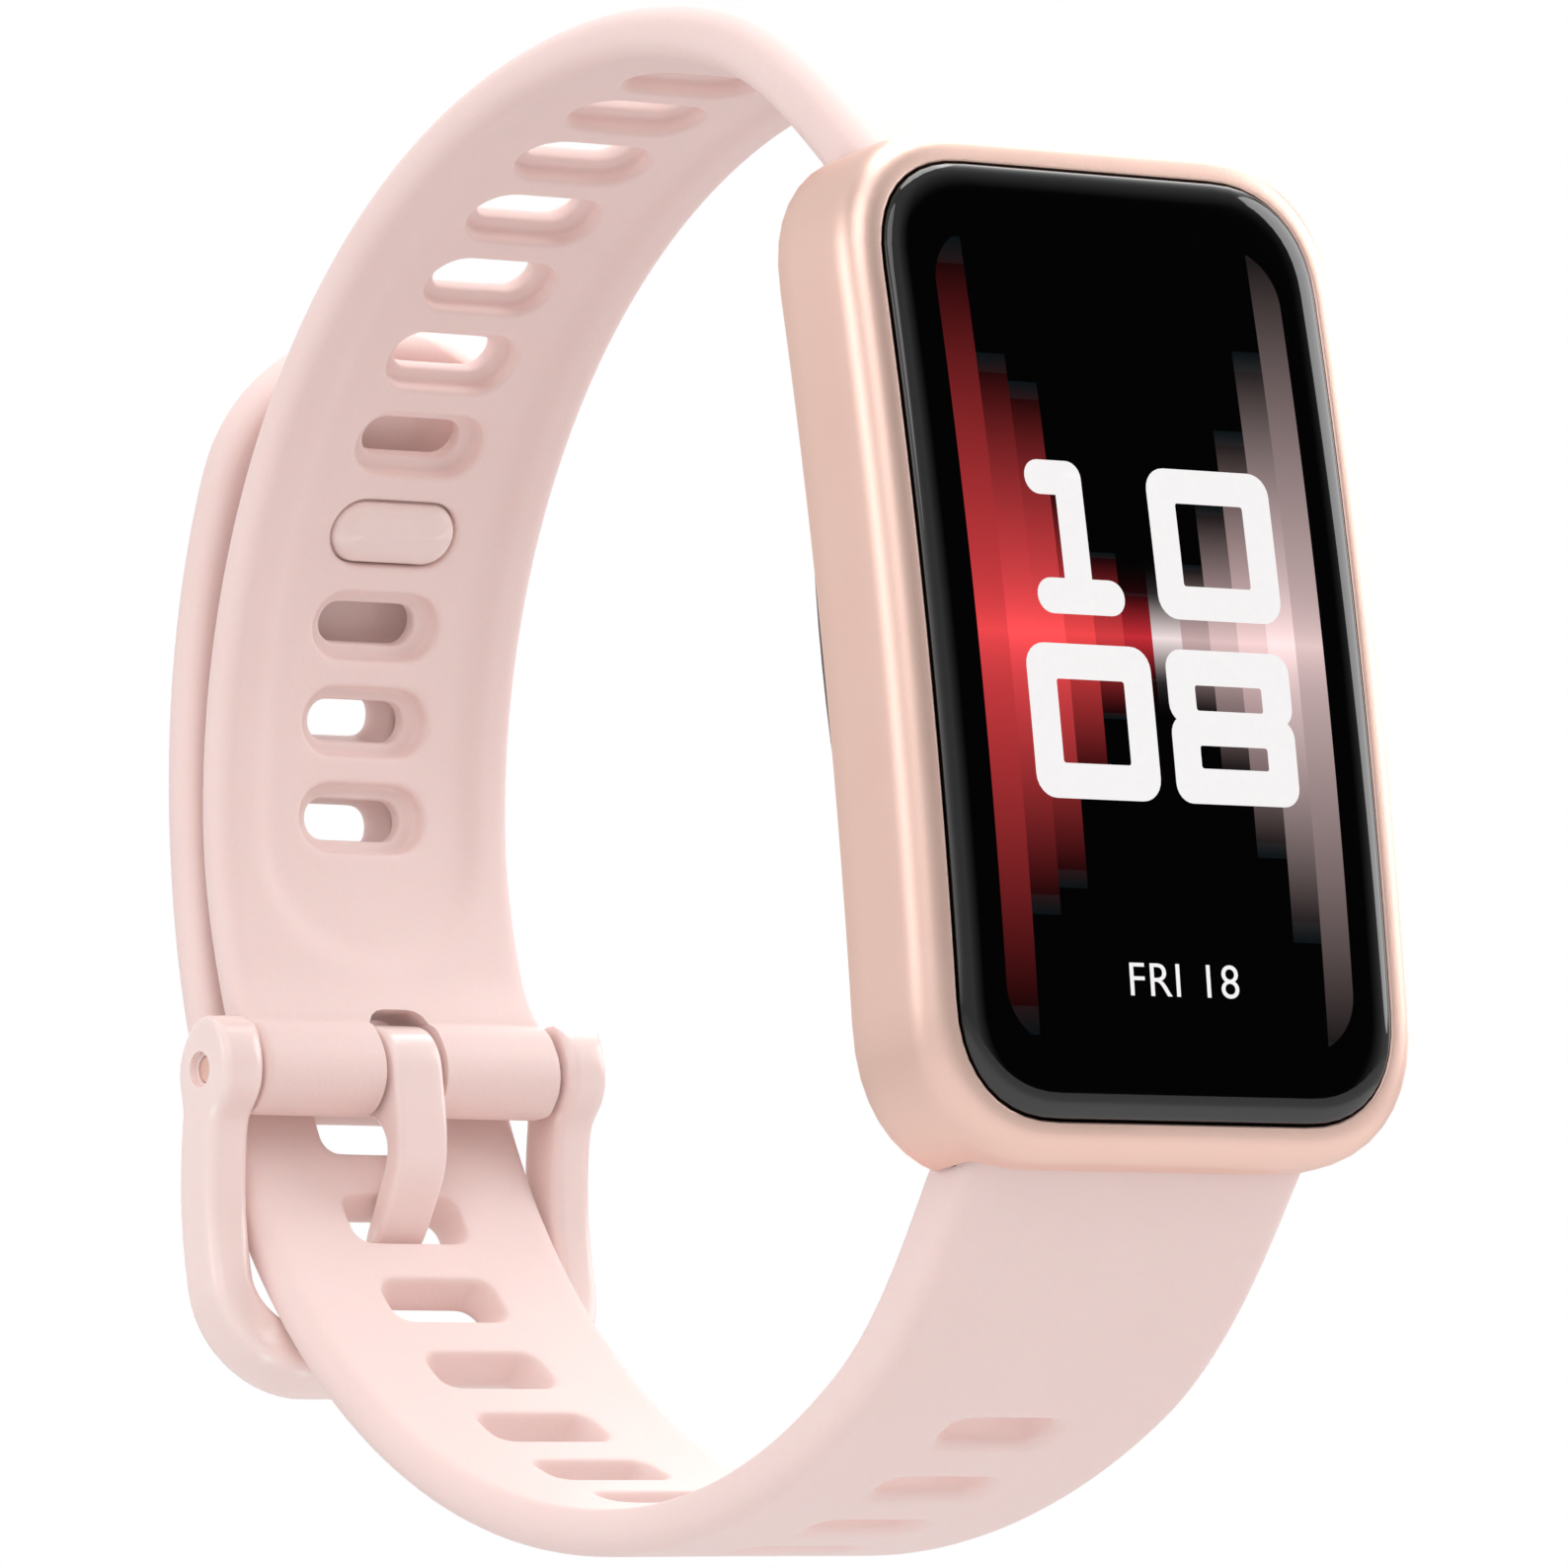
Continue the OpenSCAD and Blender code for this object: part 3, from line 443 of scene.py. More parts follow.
class Strap:
    """A strap laid flat: x across it, angle along it, h away from the wrist; then wrapped on its curve."""

    def __init__(self, radius, width, inner, outer, edge):
        self.bm = bmesh.new()
        self.radius, self.width, self.inner, self.outer, self.edge = radius, width, inner, outer, edge
        self.rows, self.angles = [], []

    def section(self, a):
        half = self.width(a) / 2
        lo, hi = self.inner(a, half), self.outer(a)
        e = min(self.edge(a), half * 0.98, (hi - lo) / 2 * 0.97)
        across = columns(half - e)
        top = [(x, a, hi) for x in reversed(across)]
        low = [(x, a, self.inner(a, abs(x))) for x in across]

        def edge_arc(side, middle, start):
            turns = [radians(start + 90 * i / EDGE_STEPS) for i in range(1, EDGE_STEPS)]
            return [(side * (half - e) + e * cos(q), a, middle + e * sin(q)) for q in turns]
        pts = top + edge_arc(-1, hi - e, 90) + [(-half, a, hi - e), (-half, a, lo + e)]
        pts += edge_arc(-1, lo + e, 180) + low + edge_arc(1, lo + e, 270)
        return pts + [(half, a, lo + e), (half, a, hi - e)] + edge_arc(1, hi - e, 0)

    def sweep(self, angles):
        self.angles = angles
        self.rows = loft(self.bm, [self.section(a) for a in angles])
        for end in (self.rows[0], self.rows[-1]):
            cap(self.bm, end)
        n = len(columns(5))
        self.top = lambda row, j: row[n - 1 - j]
        self.low = lambda row, j: row[n + 2 * EDGE_STEPS + j]

    def window(self, centre, rings, corner):
        """Opens the strap at an angle and lines the opening with rings of (length, width, height)."""
        r = self.radius(centre)
        reach = degrees(WINDOW_S / r)
        near = [i for i, a in enumerate(self.angles) if abs(a - centre) < reach + 1e-4]
        mid = len(FACE_COLUMNS) + 1
        js = list(range(mid - 5, mid + 6))
        loops, doomed = [], []
        for side in (self.low, self.top):
            loop = [side(self.rows[near[-1]], j) for j in js]
            loop += [side(self.rows[i], js[-1]) for i in reversed(near[:-1])]
            loop += [side(self.rows[near[0]], j) for j in reversed(js[:-1])]
            loop += [side(self.rows[i], js[0]) for i in near[1:-1]]
            loops.append(loop)
            inside = {side(self.rows[i], j) for i in near for j in js}
            doomed += [f for v in inside for f in v.link_faces if all(w in inside for w in f.verts)]
        bmesh.ops.delete(self.bm, geom=list(set(doomed)), context="FACES")
        verts = loops[0]
        for length, width, h in rings:
            pts = []
            for v0 in loops[0]:
                x, s = pill_point(v0.co.x / WINDOW_X, (v0.co.y - centre) / reach, length, width, corner)
                pts.append((x, centre + degrees(s / r), h))
            verts = next_ring(self.bm, verts, pts)
        last = next_ring(self.bm, verts, [v.co.copy() for v in loops[1]])
        bmesh.ops.weld_verts(self.bm, targetmap=dict(zip(last, loops[1])))

    def wrap(self):
        for v in self.bm.verts:
            x, a, h = v.co
            r = self.radius(a) + h
            v.co = (x, r * cos(radians(a)), r * sin(radians(a)))
        finish_bm(self.bm)


def pill_point(u, t, length, width, corner):
    """The point of a rounded outline that matches a point on the edge of a window 10 cells by 6."""
    r = min(corner, width / 2)
    across, up = length / 2 - r, width / 2 - r
    if abs(t) > 0.999:
        j = abs(u) * 5
    else:
        j = 5 + 3 * (1 - abs(t))
    last = 8 if up < 1e-6 else 7
    if j <= 2:
        x, s = across * j / 2, width / 2
    elif j <= last:
        q = (j - 2) / (last - 2) * pi / 2
        x, s = across + r * sin(q), up + r * cos(q)
    else:
        x, s = length / 2, up * (8 - j)
    return copysign(x, u), copysign(s, t)


def window_angles(centres, radius, a0, a1, step):
    """Angles of the rings: six even cells across each window and even steps between them."""
    marks = []
    spans = sorted((c - degrees(WINDOW_S / radius(c)), c + degrees(WINDOW_S / radius(c)))
                   for c in centres)
    at = a0
    for lo, hi in spans + [(a1, None)]:
        n = max(1, round((lo - at) * pi / 180 * radius(at) / step))
        marks += [at + (lo - at) * i / n for i in range(n)]
        if hi is None:
            marks.append(lo)
        else:
            marks += [lo + (hi - lo) * i / 6 for i in range(6)]
            at = hi
    return marks


def root_angles(side):
    """Extra rings that round off the end inside the case, as fractions of the end's radius."""
    reach = degrees(ROOT_END_R / ROOT_LOOP_R)
    return [side * (ROOT_ANGLE + reach * t) for t in (0.3, 0.55, 0.75, 0.89, 0.97, 0.999)]


def root_half(a):
    """Half the thickness of the strap's end, once it turns round the spring bar."""
    d = radians(abs(a) - ROOT_ANGLE) * ROOT_LOOP_R
    return sqrt(max(1e-4, ROOT_END_R ** 2 - d * d)) if d > 0 else 9.0


def knob_cutter(bm, side):
    """The short slot inside the strap's end where the release knob slides."""
    made = bmesh.new()
    rounded_box(made, (KNOB_X - 1.5, -0.62, -3), (KNOB_X + 0.7, 0.62, -0.3), 0.55, axis=2)
    a = side * ROOT_ANGLE
    turn = Matrix.Rotation(radians(a - 90), 4, "X")
    place = Matrix.Translation((0, ROOT_LOOP_R * cos(radians(a)),
                                ROOT_LOOP_R * sin(radians(a))))
    mesh = bpy.data.meshes.new("knob_slot_tool")
    made.to_mesh(mesh)
    made.free()
    mesh.transform(place @ turn)
    bm.from_mesh(mesh)
    bpy.data.meshes.remove(mesh)


def make_upper_strap():
    u_centre = -4.4 + degrees(CHANNEL_W / 2 / LOOP_R)

    def from_pin(a):
        return radians(a - PIN_ANGLE) * PIN_LOOP_R

    def barrel(a):
        return sqrt(max(1e-4, BARREL_R ** 2 - from_pin(a) ** 2)) if abs(from_pin(a)) < BARREL_R else 0.0

    def channel(a, x):
        s = min(0.0, radians(a - u_centre) * LOOP_R)
        d = hypot(x, s)
        fade = ease((ROOT_ANGLE - 8 - a) / 8)
        return CHANNEL_DEPTH * fade * (1 - ease((d - CHANNEL_W / 2 + 0.75) / 1.15))

    def inner(a, x):
        shift = PIN_LOOP_R - upper_r(a)
        if a < PIN_ANGLE:
            return shift - barrel(a)
        flat = strap_thick(a) / 2
        d = from_pin(a)
        k = 0.05 + 0.25 * ease((4 - d) / 2) + 1.0 * ease(d / 2) * ease((5 - d) / 3)
        h = smooth_max(flat, barrel(a) - shift, k) if d < 5.5 else flat
        return -min(h, root_half(a)) + channel(a, x)

    def outer(a):
        shift = PIN_LOOP_R - upper_r(a)
        if a < PIN_ANGLE:
            return shift + barrel(a)
        flat = strap_thick(a) / 2
        h = smooth_max(flat, barrel(a) + shift, 0.3) if from_pin(a) < 4.5 else flat
        return min(h, root_half(a))

    def edge(a):
        return EDGE_R - 0.5 * ease((2.8 - abs(from_pin(a))) / 1.4)

    strap = Strap(upper_r, strap_width, inner, outer, edge)
    holes = [hole_angle(k) for k in range(HOLE_COUNT)]
    end = degrees(BARREL_R / PIN_LOOP_R)
    start = [PIN_ANGLE - end * t for t in (0.999, 0.98, 0.93, 0.85, 0.74, 0.6, 0.45, 0.3, 0.15)]
    start += [PIN_ANGLE + end * t for t in (0, 0.15, 0.3, 0.45, 0.6, 0.74, 0.85, 0.93, 1.0, 1.08, 1.2, 1.4)]
    body = window_angles(holes, upper_r, PIN_ANGLE + end * 1.65, ROOT_ANGLE, 0.7)
    strap.sweep(start + body + root_angles(1))
    for c in holes:
        t = strap_thick(c) / 2
        fl = -t + CHANNEL_DEPTH
        strap.window(c, [(6.95, 3.45, fl), (6.7, 3.2, fl + 0.05), (6.54, 3.04, fl + 0.2),
                         (6.5, 3.0, fl + 0.45), (6.46, 2.96, fl + 0.64), (6.3, 2.8, fl + 0.75),
                         (5.35, 2.15, fl + 0.77), (5.08, 1.88, fl + 0.82), (5.0, 1.8, fl + 0.98),
                         (5.0, 1.8, t - 0.3), (5.06, 1.86, t - 0.12), (5.3, 2.1, t - 0.01), (5.7, 2.5, t)],
                     corner=9.0)
    strap.wrap()
    obj = subdivided(to_object("upper_strap_moulded", strap.bm))
    cutter = bmesh.new()
    rounded_box(cutter, (-1.62, PIN_Y - 5, PIN_Z - 4), (1.62, PIN_Y + 4, PIN_Z + 2.75), 1.0, axis=1)
    knob_cutter(cutter, 1)
    cut(obj, cutter)
    return sharpened(obj, 40)


def make_lower_strap():
    tail_half = STRAP_W / 2

    def to_tip(a):
        return radians(TAIL_END - a) * TAIL_R

    def width(a):
        u = max(0.0, 1 - to_tip(a) / tail_half)
        return strap_width(a) * sqrt(max(0.0009, 1 - u ** 2.3))

    def half(a):
        t = strap_thick(a) / 2
        d = to_tip(a)
        if d < 1.1:
            t *= sqrt(max(0.003, 1 - (1 - d / 1.1) ** 2))
        return min(t, root_half(a))

    strap = Strap(lower_r, width, lambda a, x: -half(a), half, lambda a: EDGE_R)
    slots = slot_angles()
    near_tip = TAIL_END - degrees(tail_half / TAIL_R)
    tip = [TAIL_END - degrees(d / TAIL_R) for d in
           (7.0, 6.3, 5.6, 4.9, 4.2, 3.5, 2.9, 2.3, 1.8, 1.35, 1.0, 0.72, 0.5, 0.33, 0.2, 0.1, 0.04, 0.004)]
    body = window_angles(slots, lower_r, -ROOT_ANGLE, near_tip, 0.8)
    strap.sweep(list(reversed(root_angles(-1))) + body + tip)
    for c in slots:
        t = strap_thick(c) / 2
        strap.window(c, [(6.2, 2.95, -t), (6.05, 2.75, -t + 0.05), (5.85, 2.5, -t + 0.24),
                         (5.74, 2.34, -t + 0.5), (5.45, 1.9, t - 0.9), (5.35, 1.75, t - 0.55),
                         (5.42, 1.84, t - 0.3), (5.9, 2.4, t - 0.06), (6.3, 2.8, t)], corner=0.85)
    strap.wrap()
    obj = subdivided(to_object("lower_strap_moulded", strap.bm))
    cutter = bmesh.new()
    knob_cutter(cutter, -1)
    cut(obj, cutter)
    return sharpened(obj, 40)


# ---- buckle
def make_buckle_frame():
    bm = bmesh.new()
    head_r = BARREL_R + 0.15
    mid_x = (INNER_FRAME_W + ARM_W) / 2
    low_z = PIN_Z - FRAME_DROP
    r = FRAME_CORNER_R - ARM_W / 2
    path = []
    for t in (0.995, 0.96, 0.88, 0.76, 0.6, 0.4, 0.2, 0.0, -0.2, -0.4, -0.6, -0.8, -1.0, -1.25, -1.6, -2.1):
        path.append((mid_x, PIN_Z + head_r * t, 0.0))
    z_turn = low_z + r
    z0 = path[-1][1]
    path += [(mid_x, z0 + (z_turn - z0) * i / 5, 0.0) for i in range(1, 6)]
    for i in range(1, 13):
        q = pi / 2 * i / 12
        path.append((mid_x - r + r * cos(q), z_turn - r * sin(q), q))
    path += [((mid_x - r) * (1 - i / 6), low_z, pi / 2) for i in range(1, 7)]
    path += [(-x, z, pi - q) for x, z, q in reversed(path[:-1])]

    def half_thick(z):
        d = z - PIN_Z
        head = sqrt(max(1e-4, head_r ** 2 - d * d)) if abs(d) < head_r else 0.0
        if d > 0:
            return head
        return smooth_max(FRAME_T / 2 - 0.03, head, 0.35)

    def ring(x, z, q):
        arm, bar = ARM_W / 2, 1.25
        wide = arm + (bar - arm) * sin(q)
        thick = half_thick(z)
        e = min(0.62 if thick > 1.2 else 0.5, thick * 0.9, wide * 0.9)
        pts = []
        for p, off in rounded_section(wide, thick, e):
            xx, zz = x + p * cos(q), z - p * sin(q)
            phi = asin(max(-1, min(1, (zz - BOW_Z) / BOW_R)))
            reach = BOW_R + off
            pts.append((xx, BOW_Y + reach * cos(phi), BOW_Z + reach * sin(phi)))
        return pts
    solid_loft(bm, [ring(*p) for p in path])
    obj = subdivided(to_object("buckle_frame_moulded", bm))
    cutter = bmesh.new()
    x_cylinder(cutter, -14, 14, PIN_R + PIN_FIT, PIN_Y, PIN_Z)
    cut(obj, cutter)
    for s in (-1, 1):
        mouth = bmesh.new()
        a, b = sorted((s * (INNER_FRAME_W / 2 + ARM_W - 0.32), s * 14))
        x_cylinder(mouth, a, b, 0.78, PIN_Y, PIN_Z)
        cut(obj, mouth)
    return sharpened(obj, 35)


def make_tongue():
    """The tongue: an eye round the hinge pin, a straight blade, a bend and a rounded tip."""
    bm = bmesh.new()
    r = BARREL_R + 0.2
    y0 = PIN_Y - r
    pairs = []
    for t in (0.995, 0.96, 0.88, 0.76, 0.6, 0.4, 0.2, 0.0):
        d = r * t
        half = sqrt(r * r - d * d)
        pairs.append(((r - half, d), (r + half, d)))
    pairs += [((0.0, -0.45), (4.15, -0.45)), ((0.0, -0.9), (4.0, -0.9)), ((0.0, -1.25), (3.6, -1.3)),
              ((0.0, -1.6), (2.95, -1.65)), ((0.0, -1.95), (2.3, -1.95)), ((0.02, -2.3), (1.85, -2.25)),
              ((0.05, -2.7), (1.6, -2.65)), ((0.1, -3.1), (1.46, -2.98)), ((0.16, -3.5), (1.42, -3.3)),
              ((0.24, -3.95), (1.48, -3.62)), ((0.38, -4.4), (1.62, -3.95)), ((0.62, -4.85), (1.84, -4.3)),
              ((0.98, -5.35), (2.14, -4.72)), ((1.5, -6.02), (2.58, -5.38)), ((2.05, -6.7), (3.04, -6.06)),
              ((2.5, -7.2), (3.42, -6.6)), ((2.78, -7.46), (3.62, -6.9)), ((3.0, -7.6), (3.72, -7.12)),
              ((3.2, -7.68), (3.74, -7.28)), ((3.4, -7.7), (3.7, -7.5))]
    half_w = TONGUE_W / 2

    def ring(front, back):
        f = Vector((y0 + front[0], PIN_Z + front[1]))
        b = Vector((y0 + back[0], PIN_Z + back[1]))
        mid, reach = (f + b) / 2, (b - f) / 2
        long = reach.length
        along = reach.normalized()
        e = min(0.36, long * 0.85)
        shrink = min(1.0, 0.8 + long)
        return [(across, *(mid + along * off))
                for across, off in rounded_section(half_w * shrink, long, e)]
    solid_loft(bm, [ring(*p) for p in pairs])
    obj = subdivided(to_object("buckle_tongue_moulded", bm))
    cutter = bmesh.new()
    x_cylinder(cutter, -5, 5, PIN_R + PIN_FIT, PIN_Y, PIN_Z)
    cut(obj, cutter)
    return sharpened(obj, 38)


def make_stud():
    bm = bmesh.new()
    a = hole_angle(STUD_HOLE)
    back = lower_r(a) - STRAP_T / 2 + 0.3
    head_low = LOOP_R - STRAP_T / 2 + CHANNEL_DEPTH + 0.75 - 0.12
    top = LOOP_R - STRAP_T / 2 + CHANNEL_DEPTH - 0.12

    ca, sa = cos(radians(a)), sin(radians(a))

    def ring(length, width, r):
        pts = []
        for end in (1, -1):
            for i in range(17):
                q = pi * i / 16
                x = end * ((length - width) / 2 + width / 2 * sin(q))
                s = end * width / 2 * cos(q)
                pts.append((x, r * ca - s * sa, r * sa + s * ca))
        return pts
    steps = [(4.6, 1.4, back), (4.6, 1.4, head_low), (6.3, 2.84, head_low), (6.42, 2.94, head_low - 0.1),
             (6.36, 2.88, top + 0.5)]
    for d in (0.0, 0.02, 0.05, 0.1, 0.17, 0.26, 0.38, 0.52, 0.68, 0.88, 1.1, 1.3):
        dome = 0.5 - 0.7 * sqrt(1 - max(0.0, 1 - d / 0.75) ** 2) - 0.08 * ease(d / 1.3)
        steps.append((6.3 - 2 * d, 2.82 - 2 * d, top + dome))
    solid_loft(bm, [ring(*p) for p in steps])
    return sharpened(to_object("strap_stud_moulded", bm), 50)


def make_bar_spring(name, z):
    """A fine coil along the quick-release bar, between its fixed end and the pin's rod."""
    bm = bmesh.new()
    wire, coil_r, steps = 0.05, 0.33, SPRING_TURNS * 14
    disc = bmesh.ops.create_circle(bm, cap_ends=True, radius=wire, segments=8)["verts"]
    bmesh.ops.translate(bm, verts=disc, vec=(SPRING_X0 + wire, ROOT_Y + coil_r, z))
    run = SPRING_X1 - SPRING_X0 - 2 * wire
    bmesh.ops.spin(bm, geom=bm.faces[:] + bm.edges[:] + bm.verts[:], cent=(0, ROOT_Y, z), axis=(1, 0, 0),
                   dvec=(run / steps, 0, 0), angle=2 * pi * SPRING_TURNS, steps=steps,
                   use_duplicate=False)
    bmesh.ops.remove_doubles(bm, verts=bm.verts, dist=1e-5)
    finish_bm(bm)
    return to_object(name, bm)


# ---- display marks
def flat_mark(bm, x0, x1, z0, z1, r, hole=None):
    """A rounded bar on the screen, or a frame round a hole."""
    def outline(a0, a1, b0, b1, corner):
        section = rounded_section((a1 - a0) / 2, (b1 - b0) / 2, corner, 6)
        return [((a0 + a1) / 2 + x, 0.0, (b0 + b1) / 2 + z) for x, z in section]
    outer = first_ring(bm, outline(x0, x1, z0, z1, r))
    if hole:
        next_ring(bm, outer, outline(*hole, 0.12))
    else:
        cap(bm, outer)


def mark_object(name, bm):
    """Bends flat marks on to the bowed glass and gives them a hair of thickness."""
    lift = 0.02
    for k in range(-9, 10):
        bmesh.ops.bisect_plane(bm, geom=bm.verts[:] + bm.edges[:] + bm.faces[:], dist=1e-6,
                               plane_co=(0, 0, k * 1.1), plane_no=(0, 0, 1))
    made = bmesh.ops.extrude_face_region(bm, geom=bm.faces[:])["geom"]
    back = {v for v in made if isinstance(v, bmesh.types.BMVert)}
    for v in bm.verts:
        rise = GLASS_RISE + (-lift if v in back else lift)
        v.co.y = FACE_Y - rise + v.co.z ** 2 / (2 * FACE_BOW_R)
    bmesh.ops.recalc_face_normals(bm, faces=bm.faces)
    return to_object(name, bm, smooth=False)


def make_digits():
    bm = bmesh.new()
    flat_mark(bm, -5.56, -2.75, 5.68, 7.1, 0.69)
    flat_mark(bm, -4.1, -2.75, 0.9, 6.7, 0.4)
    flat_mark(bm, -5.55, -1.2, 0.8, 2.26, 0.72)
    flat_mark(bm, 0.53, 6.76, 0.82, 7.05, 0.95, (1.9, 5.33, 2.2, 5.63))
    flat_mark(bm, -6.48, -0.26, -6.7, -0.42, 0.95, (-5.06, -1.67, -5.27, -1.86))
    flat_mark(bm, 0.53, 6.78, -3.45, -0.42, 0.8, (1.9, 5.3, -2.9, -1.86))
    flat_mark(bm, 0.53, 6.78, -6.7, -3.1, 0.8, (1.9, 5.33, -5.26, -4.32))
    return mark_object("display_digits", bm)


def make_day_text():
    curve = bpy.data.curves.new("day_words", "FONT")
    curve.body = "FRI 18"
    curve.align_x, curve.align_y = "CENTER", "CENTER"
    curve.size = 1.95
    curve.offset = -0.012
    curve.space_character = 1.05
    curve.space_word = 1.15
    curve.resolution_u = 6
    holder = new_object("day_words", curve)
    bpy.context.view_layer.update()
    mesh = bpy.data.meshes.new_from_object(holder.evaluated_get(bpy.context.evaluated_depsgraph_get()))
    bpy.data.objects.remove(holder)
    mesh.transform(Matrix.Translation((0.12, 0, -13.95)) @ Matrix.Rotation(pi / 2, 4, "X")
                   @ Matrix.Diagonal((1.06, 1, 1, 1)))
    bm = bmesh.new()
    bm.from_mesh(mesh)
    bpy.data.meshes.remove(mesh)
    bmesh.ops.remove_doubles(bm, verts=bm.verts, dist=1e-4)
    return mark_object("display_day", bm)


# ---- node groups
def new_group(name, inputs, outputs):
    """A node group with inputs of (kind, label, value) and outputs of (kind, label)."""
    tree = bpy.data.node_groups.new(name, "ShaderNodeTree")
    for kind, label, value in inputs:
        s = tree.interface.new_socket(name=label, in_out="INPUT", socket_type="NodeSocket" + kind)
        s.default_value = value
    for kind, label in outputs:
        tree.interface.new_socket(name=label, in_out="OUTPUT", socket_type="NodeSocket" + kind)
    return tree, tree.nodes.new("NodeGroupInput"), tree.nodes.new("NodeGroupOutput")


def maths(tree, operation, a, b=None, c=None, clamp=False):
    n = tree.nodes.new("ShaderNodeMath")
    n.operation, n.use_clamp = operation, clamp
    for i, v in enumerate((a, b, c)):
        if v is None:
            continue
        if isinstance(v, (int, float)):
            n.inputs[i].default_value = v
        else:
            tree.links.new(v, n.inputs[i])
    return n.outputs[0]


def mix_colour(tree, factor, a, b):
    n = tree.nodes.new("ShaderNodeMix")
    n.data_type = "RGBA"
    for i, v in ((0, factor), (6, a), (7, b)):
        if hasattr(v, "links"):
            tree.links.new(v, n.inputs[i])
        elif i == 0:
            n.inputs[0].default_value = v
        else:
            n.inputs[i].default_value = (*v, 1) if len(v) == 3 else v
    return n.outputs[2]


def noise(tree, vector, scale, detail):
    n = tree.nodes.new("ShaderNodeTexNoise")
    n.inputs["Scale"].default_value = scale
    n.inputs["Detail"].default_value = detail
    tree.links.new(vector, n.inputs["Vector"])
    return n.outputs["Fac"]


def millimetres(tree):
    """Object coordinates, in millimetres."""
    coord = tree.nodes.new("ShaderNodeTexCoord")
    scale = tree.nodes.new("ShaderNodeMapping")
    scale.inputs["Scale"].default_value = (1000, 1000, 1000)
    tree.links.new(coord.outputs["Object"], scale.inputs["Vector"])
    return scale.outputs["Vector"]


def moulded_grain_group():
    """Fine tooth of a moulded or blasted surface, with slow clouding of its colour."""
    tree, gin, gout = new_group(
        "fine_grain", [("Vector", "Place", (0, 0, 0)), ("Float", "Grain per mm", 6.0),
                       ("Color", "Light", (1, 1, 1, 1)), ("Color", "Dark", (1, 1, 1, 1)),
                       ("Float", "Roughness", 0.5), ("Float", "Roughness swing", 0.05)],
        [("Color", "Colour"), ("Float", "Roughness"), ("Float", "Height")])
    calc, link = partial(maths, tree), tree.links.new
    place = gin.outputs["Place"]
    fine = tree.nodes.new("ShaderNodeTexNoise")
    link(place, fine.inputs["Vector"])
    link(gin.outputs["Grain per mm"], fine.inputs["Scale"])
    fine.inputs["Detail"].default_value = 2.5
    pores = tree.nodes.new("ShaderNodeTexVoronoi")
    link(place, pores.inputs["Vector"])
    link(gin.outputs["Grain per mm"], pores.inputs["Scale"])
    slow = noise(tree, place, 0.16, 3)
    height = calc("MULTIPLY_ADD", pores.outputs["Distance"], 0.45, fine.outputs["Fac"])
    blend = calc("MULTIPLY_ADD", fine.outputs["Fac"], 0.35, calc("MULTIPLY", slow, 0.65))
    soft = calc("MULTIPLY_ADD", calc("SUBTRACT", blend, 0.5), 2.0, 0.5, clamp=True)
    link(mix_colour(tree, soft, gin.outputs["Dark"], gin.outputs["Light"]), gout.inputs["Colour"])
    swing = calc("MULTIPLY", calc("SUBTRACT", slow, 0.5), gin.outputs["Roughness swing"])
    link(calc("ADD", gin.outputs["Roughness"], swing), gout.inputs["Roughness"])
    link(height, gout.inputs["Height"])
    return tree


def painted_edge_highlight_group():
    """Marks where a surface turns sharply, for a painted highlight along its edges."""
    tree, gin, gout = new_group("painted_edge_highlight", [("Float", "Sharpness", 4.0)],
                                [("Float", "Mask")])
    geo = tree.nodes.new("ShaderNodeNewGeometry")
    over = maths(tree, "SUBTRACT", geo.outputs["Pointiness"], 0.5)
    tree.links.new(maths(tree, "MULTIPLY", over, gin.outputs["Sharpness"], clamp=True), gout.inputs["Mask"])
    return tree


FINE_GRAIN = moulded_grain_group()
PAINTED_EDGE_HIGHLIGHT = painted_edge_highlight_group()


def place_group(tree, group, **values):
    n = tree.nodes.new("ShaderNodeGroup")
    n.node_tree = group
    for key, v in values.items():
        socket = n.inputs[key.replace("_", " ")]
        if hasattr(v, "links"):
            tree.links.new(v, socket)
        else:
            socket.default_value = v
    return n


def new_material(name, **sockets):
    mat = bpy.data.materials.new(name)
    mat.use_nodes = True
    shader = mat.node_tree.nodes["Principled BSDF"]
    for key, v in sockets.items():
        shader.inputs[key.replace("_", " ")].default_value = v
    return mat, mat.node_tree, shader


def grained(name, light, dark, roughness, grain, bump, swing=0.06, edge=0.0, edge_highlight_colour=None, **sockets):
    """A solid finish with fine grain: two close shades, a roughness and a bump height in millimetres. A
    nonzero edge paints a lighter highlight colour along sharp edges.
    """
    mat, tree, shader = new_material(name, **sockets)
    group = place_group(tree, FINE_GRAIN, Place=millimetres(tree), Grain_per_mm=grain, Light=(*light, 1),
                        Dark=(*dark, 1), Roughness=roughness, Roughness_swing=swing)
    colour = group.outputs["Colour"]
    # painted highlight: sharp edges are lightened towards a highlight colour
    if edge:
        edge_highlight_mask = place_group(tree, PAINTED_EDGE_HIGHLIGHT, Sharpness=edge).outputs["Mask"]
        colour = mix_colour(tree, edge_highlight_mask, colour, edge_highlight_colour or light)
    tree.links.new(colour, shader.inputs["Base Color"])
    tree.links.new(group.outputs["Roughness"], shader.inputs["Roughness"])
    if bump:
        b = tree.nodes.new("ShaderNodeBump")
        b.inputs["Strength"].default_value = 1.0
        b.inputs["Distance"].default_value = bump * MM
        tree.links.new(group.outputs["Height"], b.inputs["Height"])
        tree.links.new(b.outputs["Normal"], shader.inputs["Normal"])
    return mat


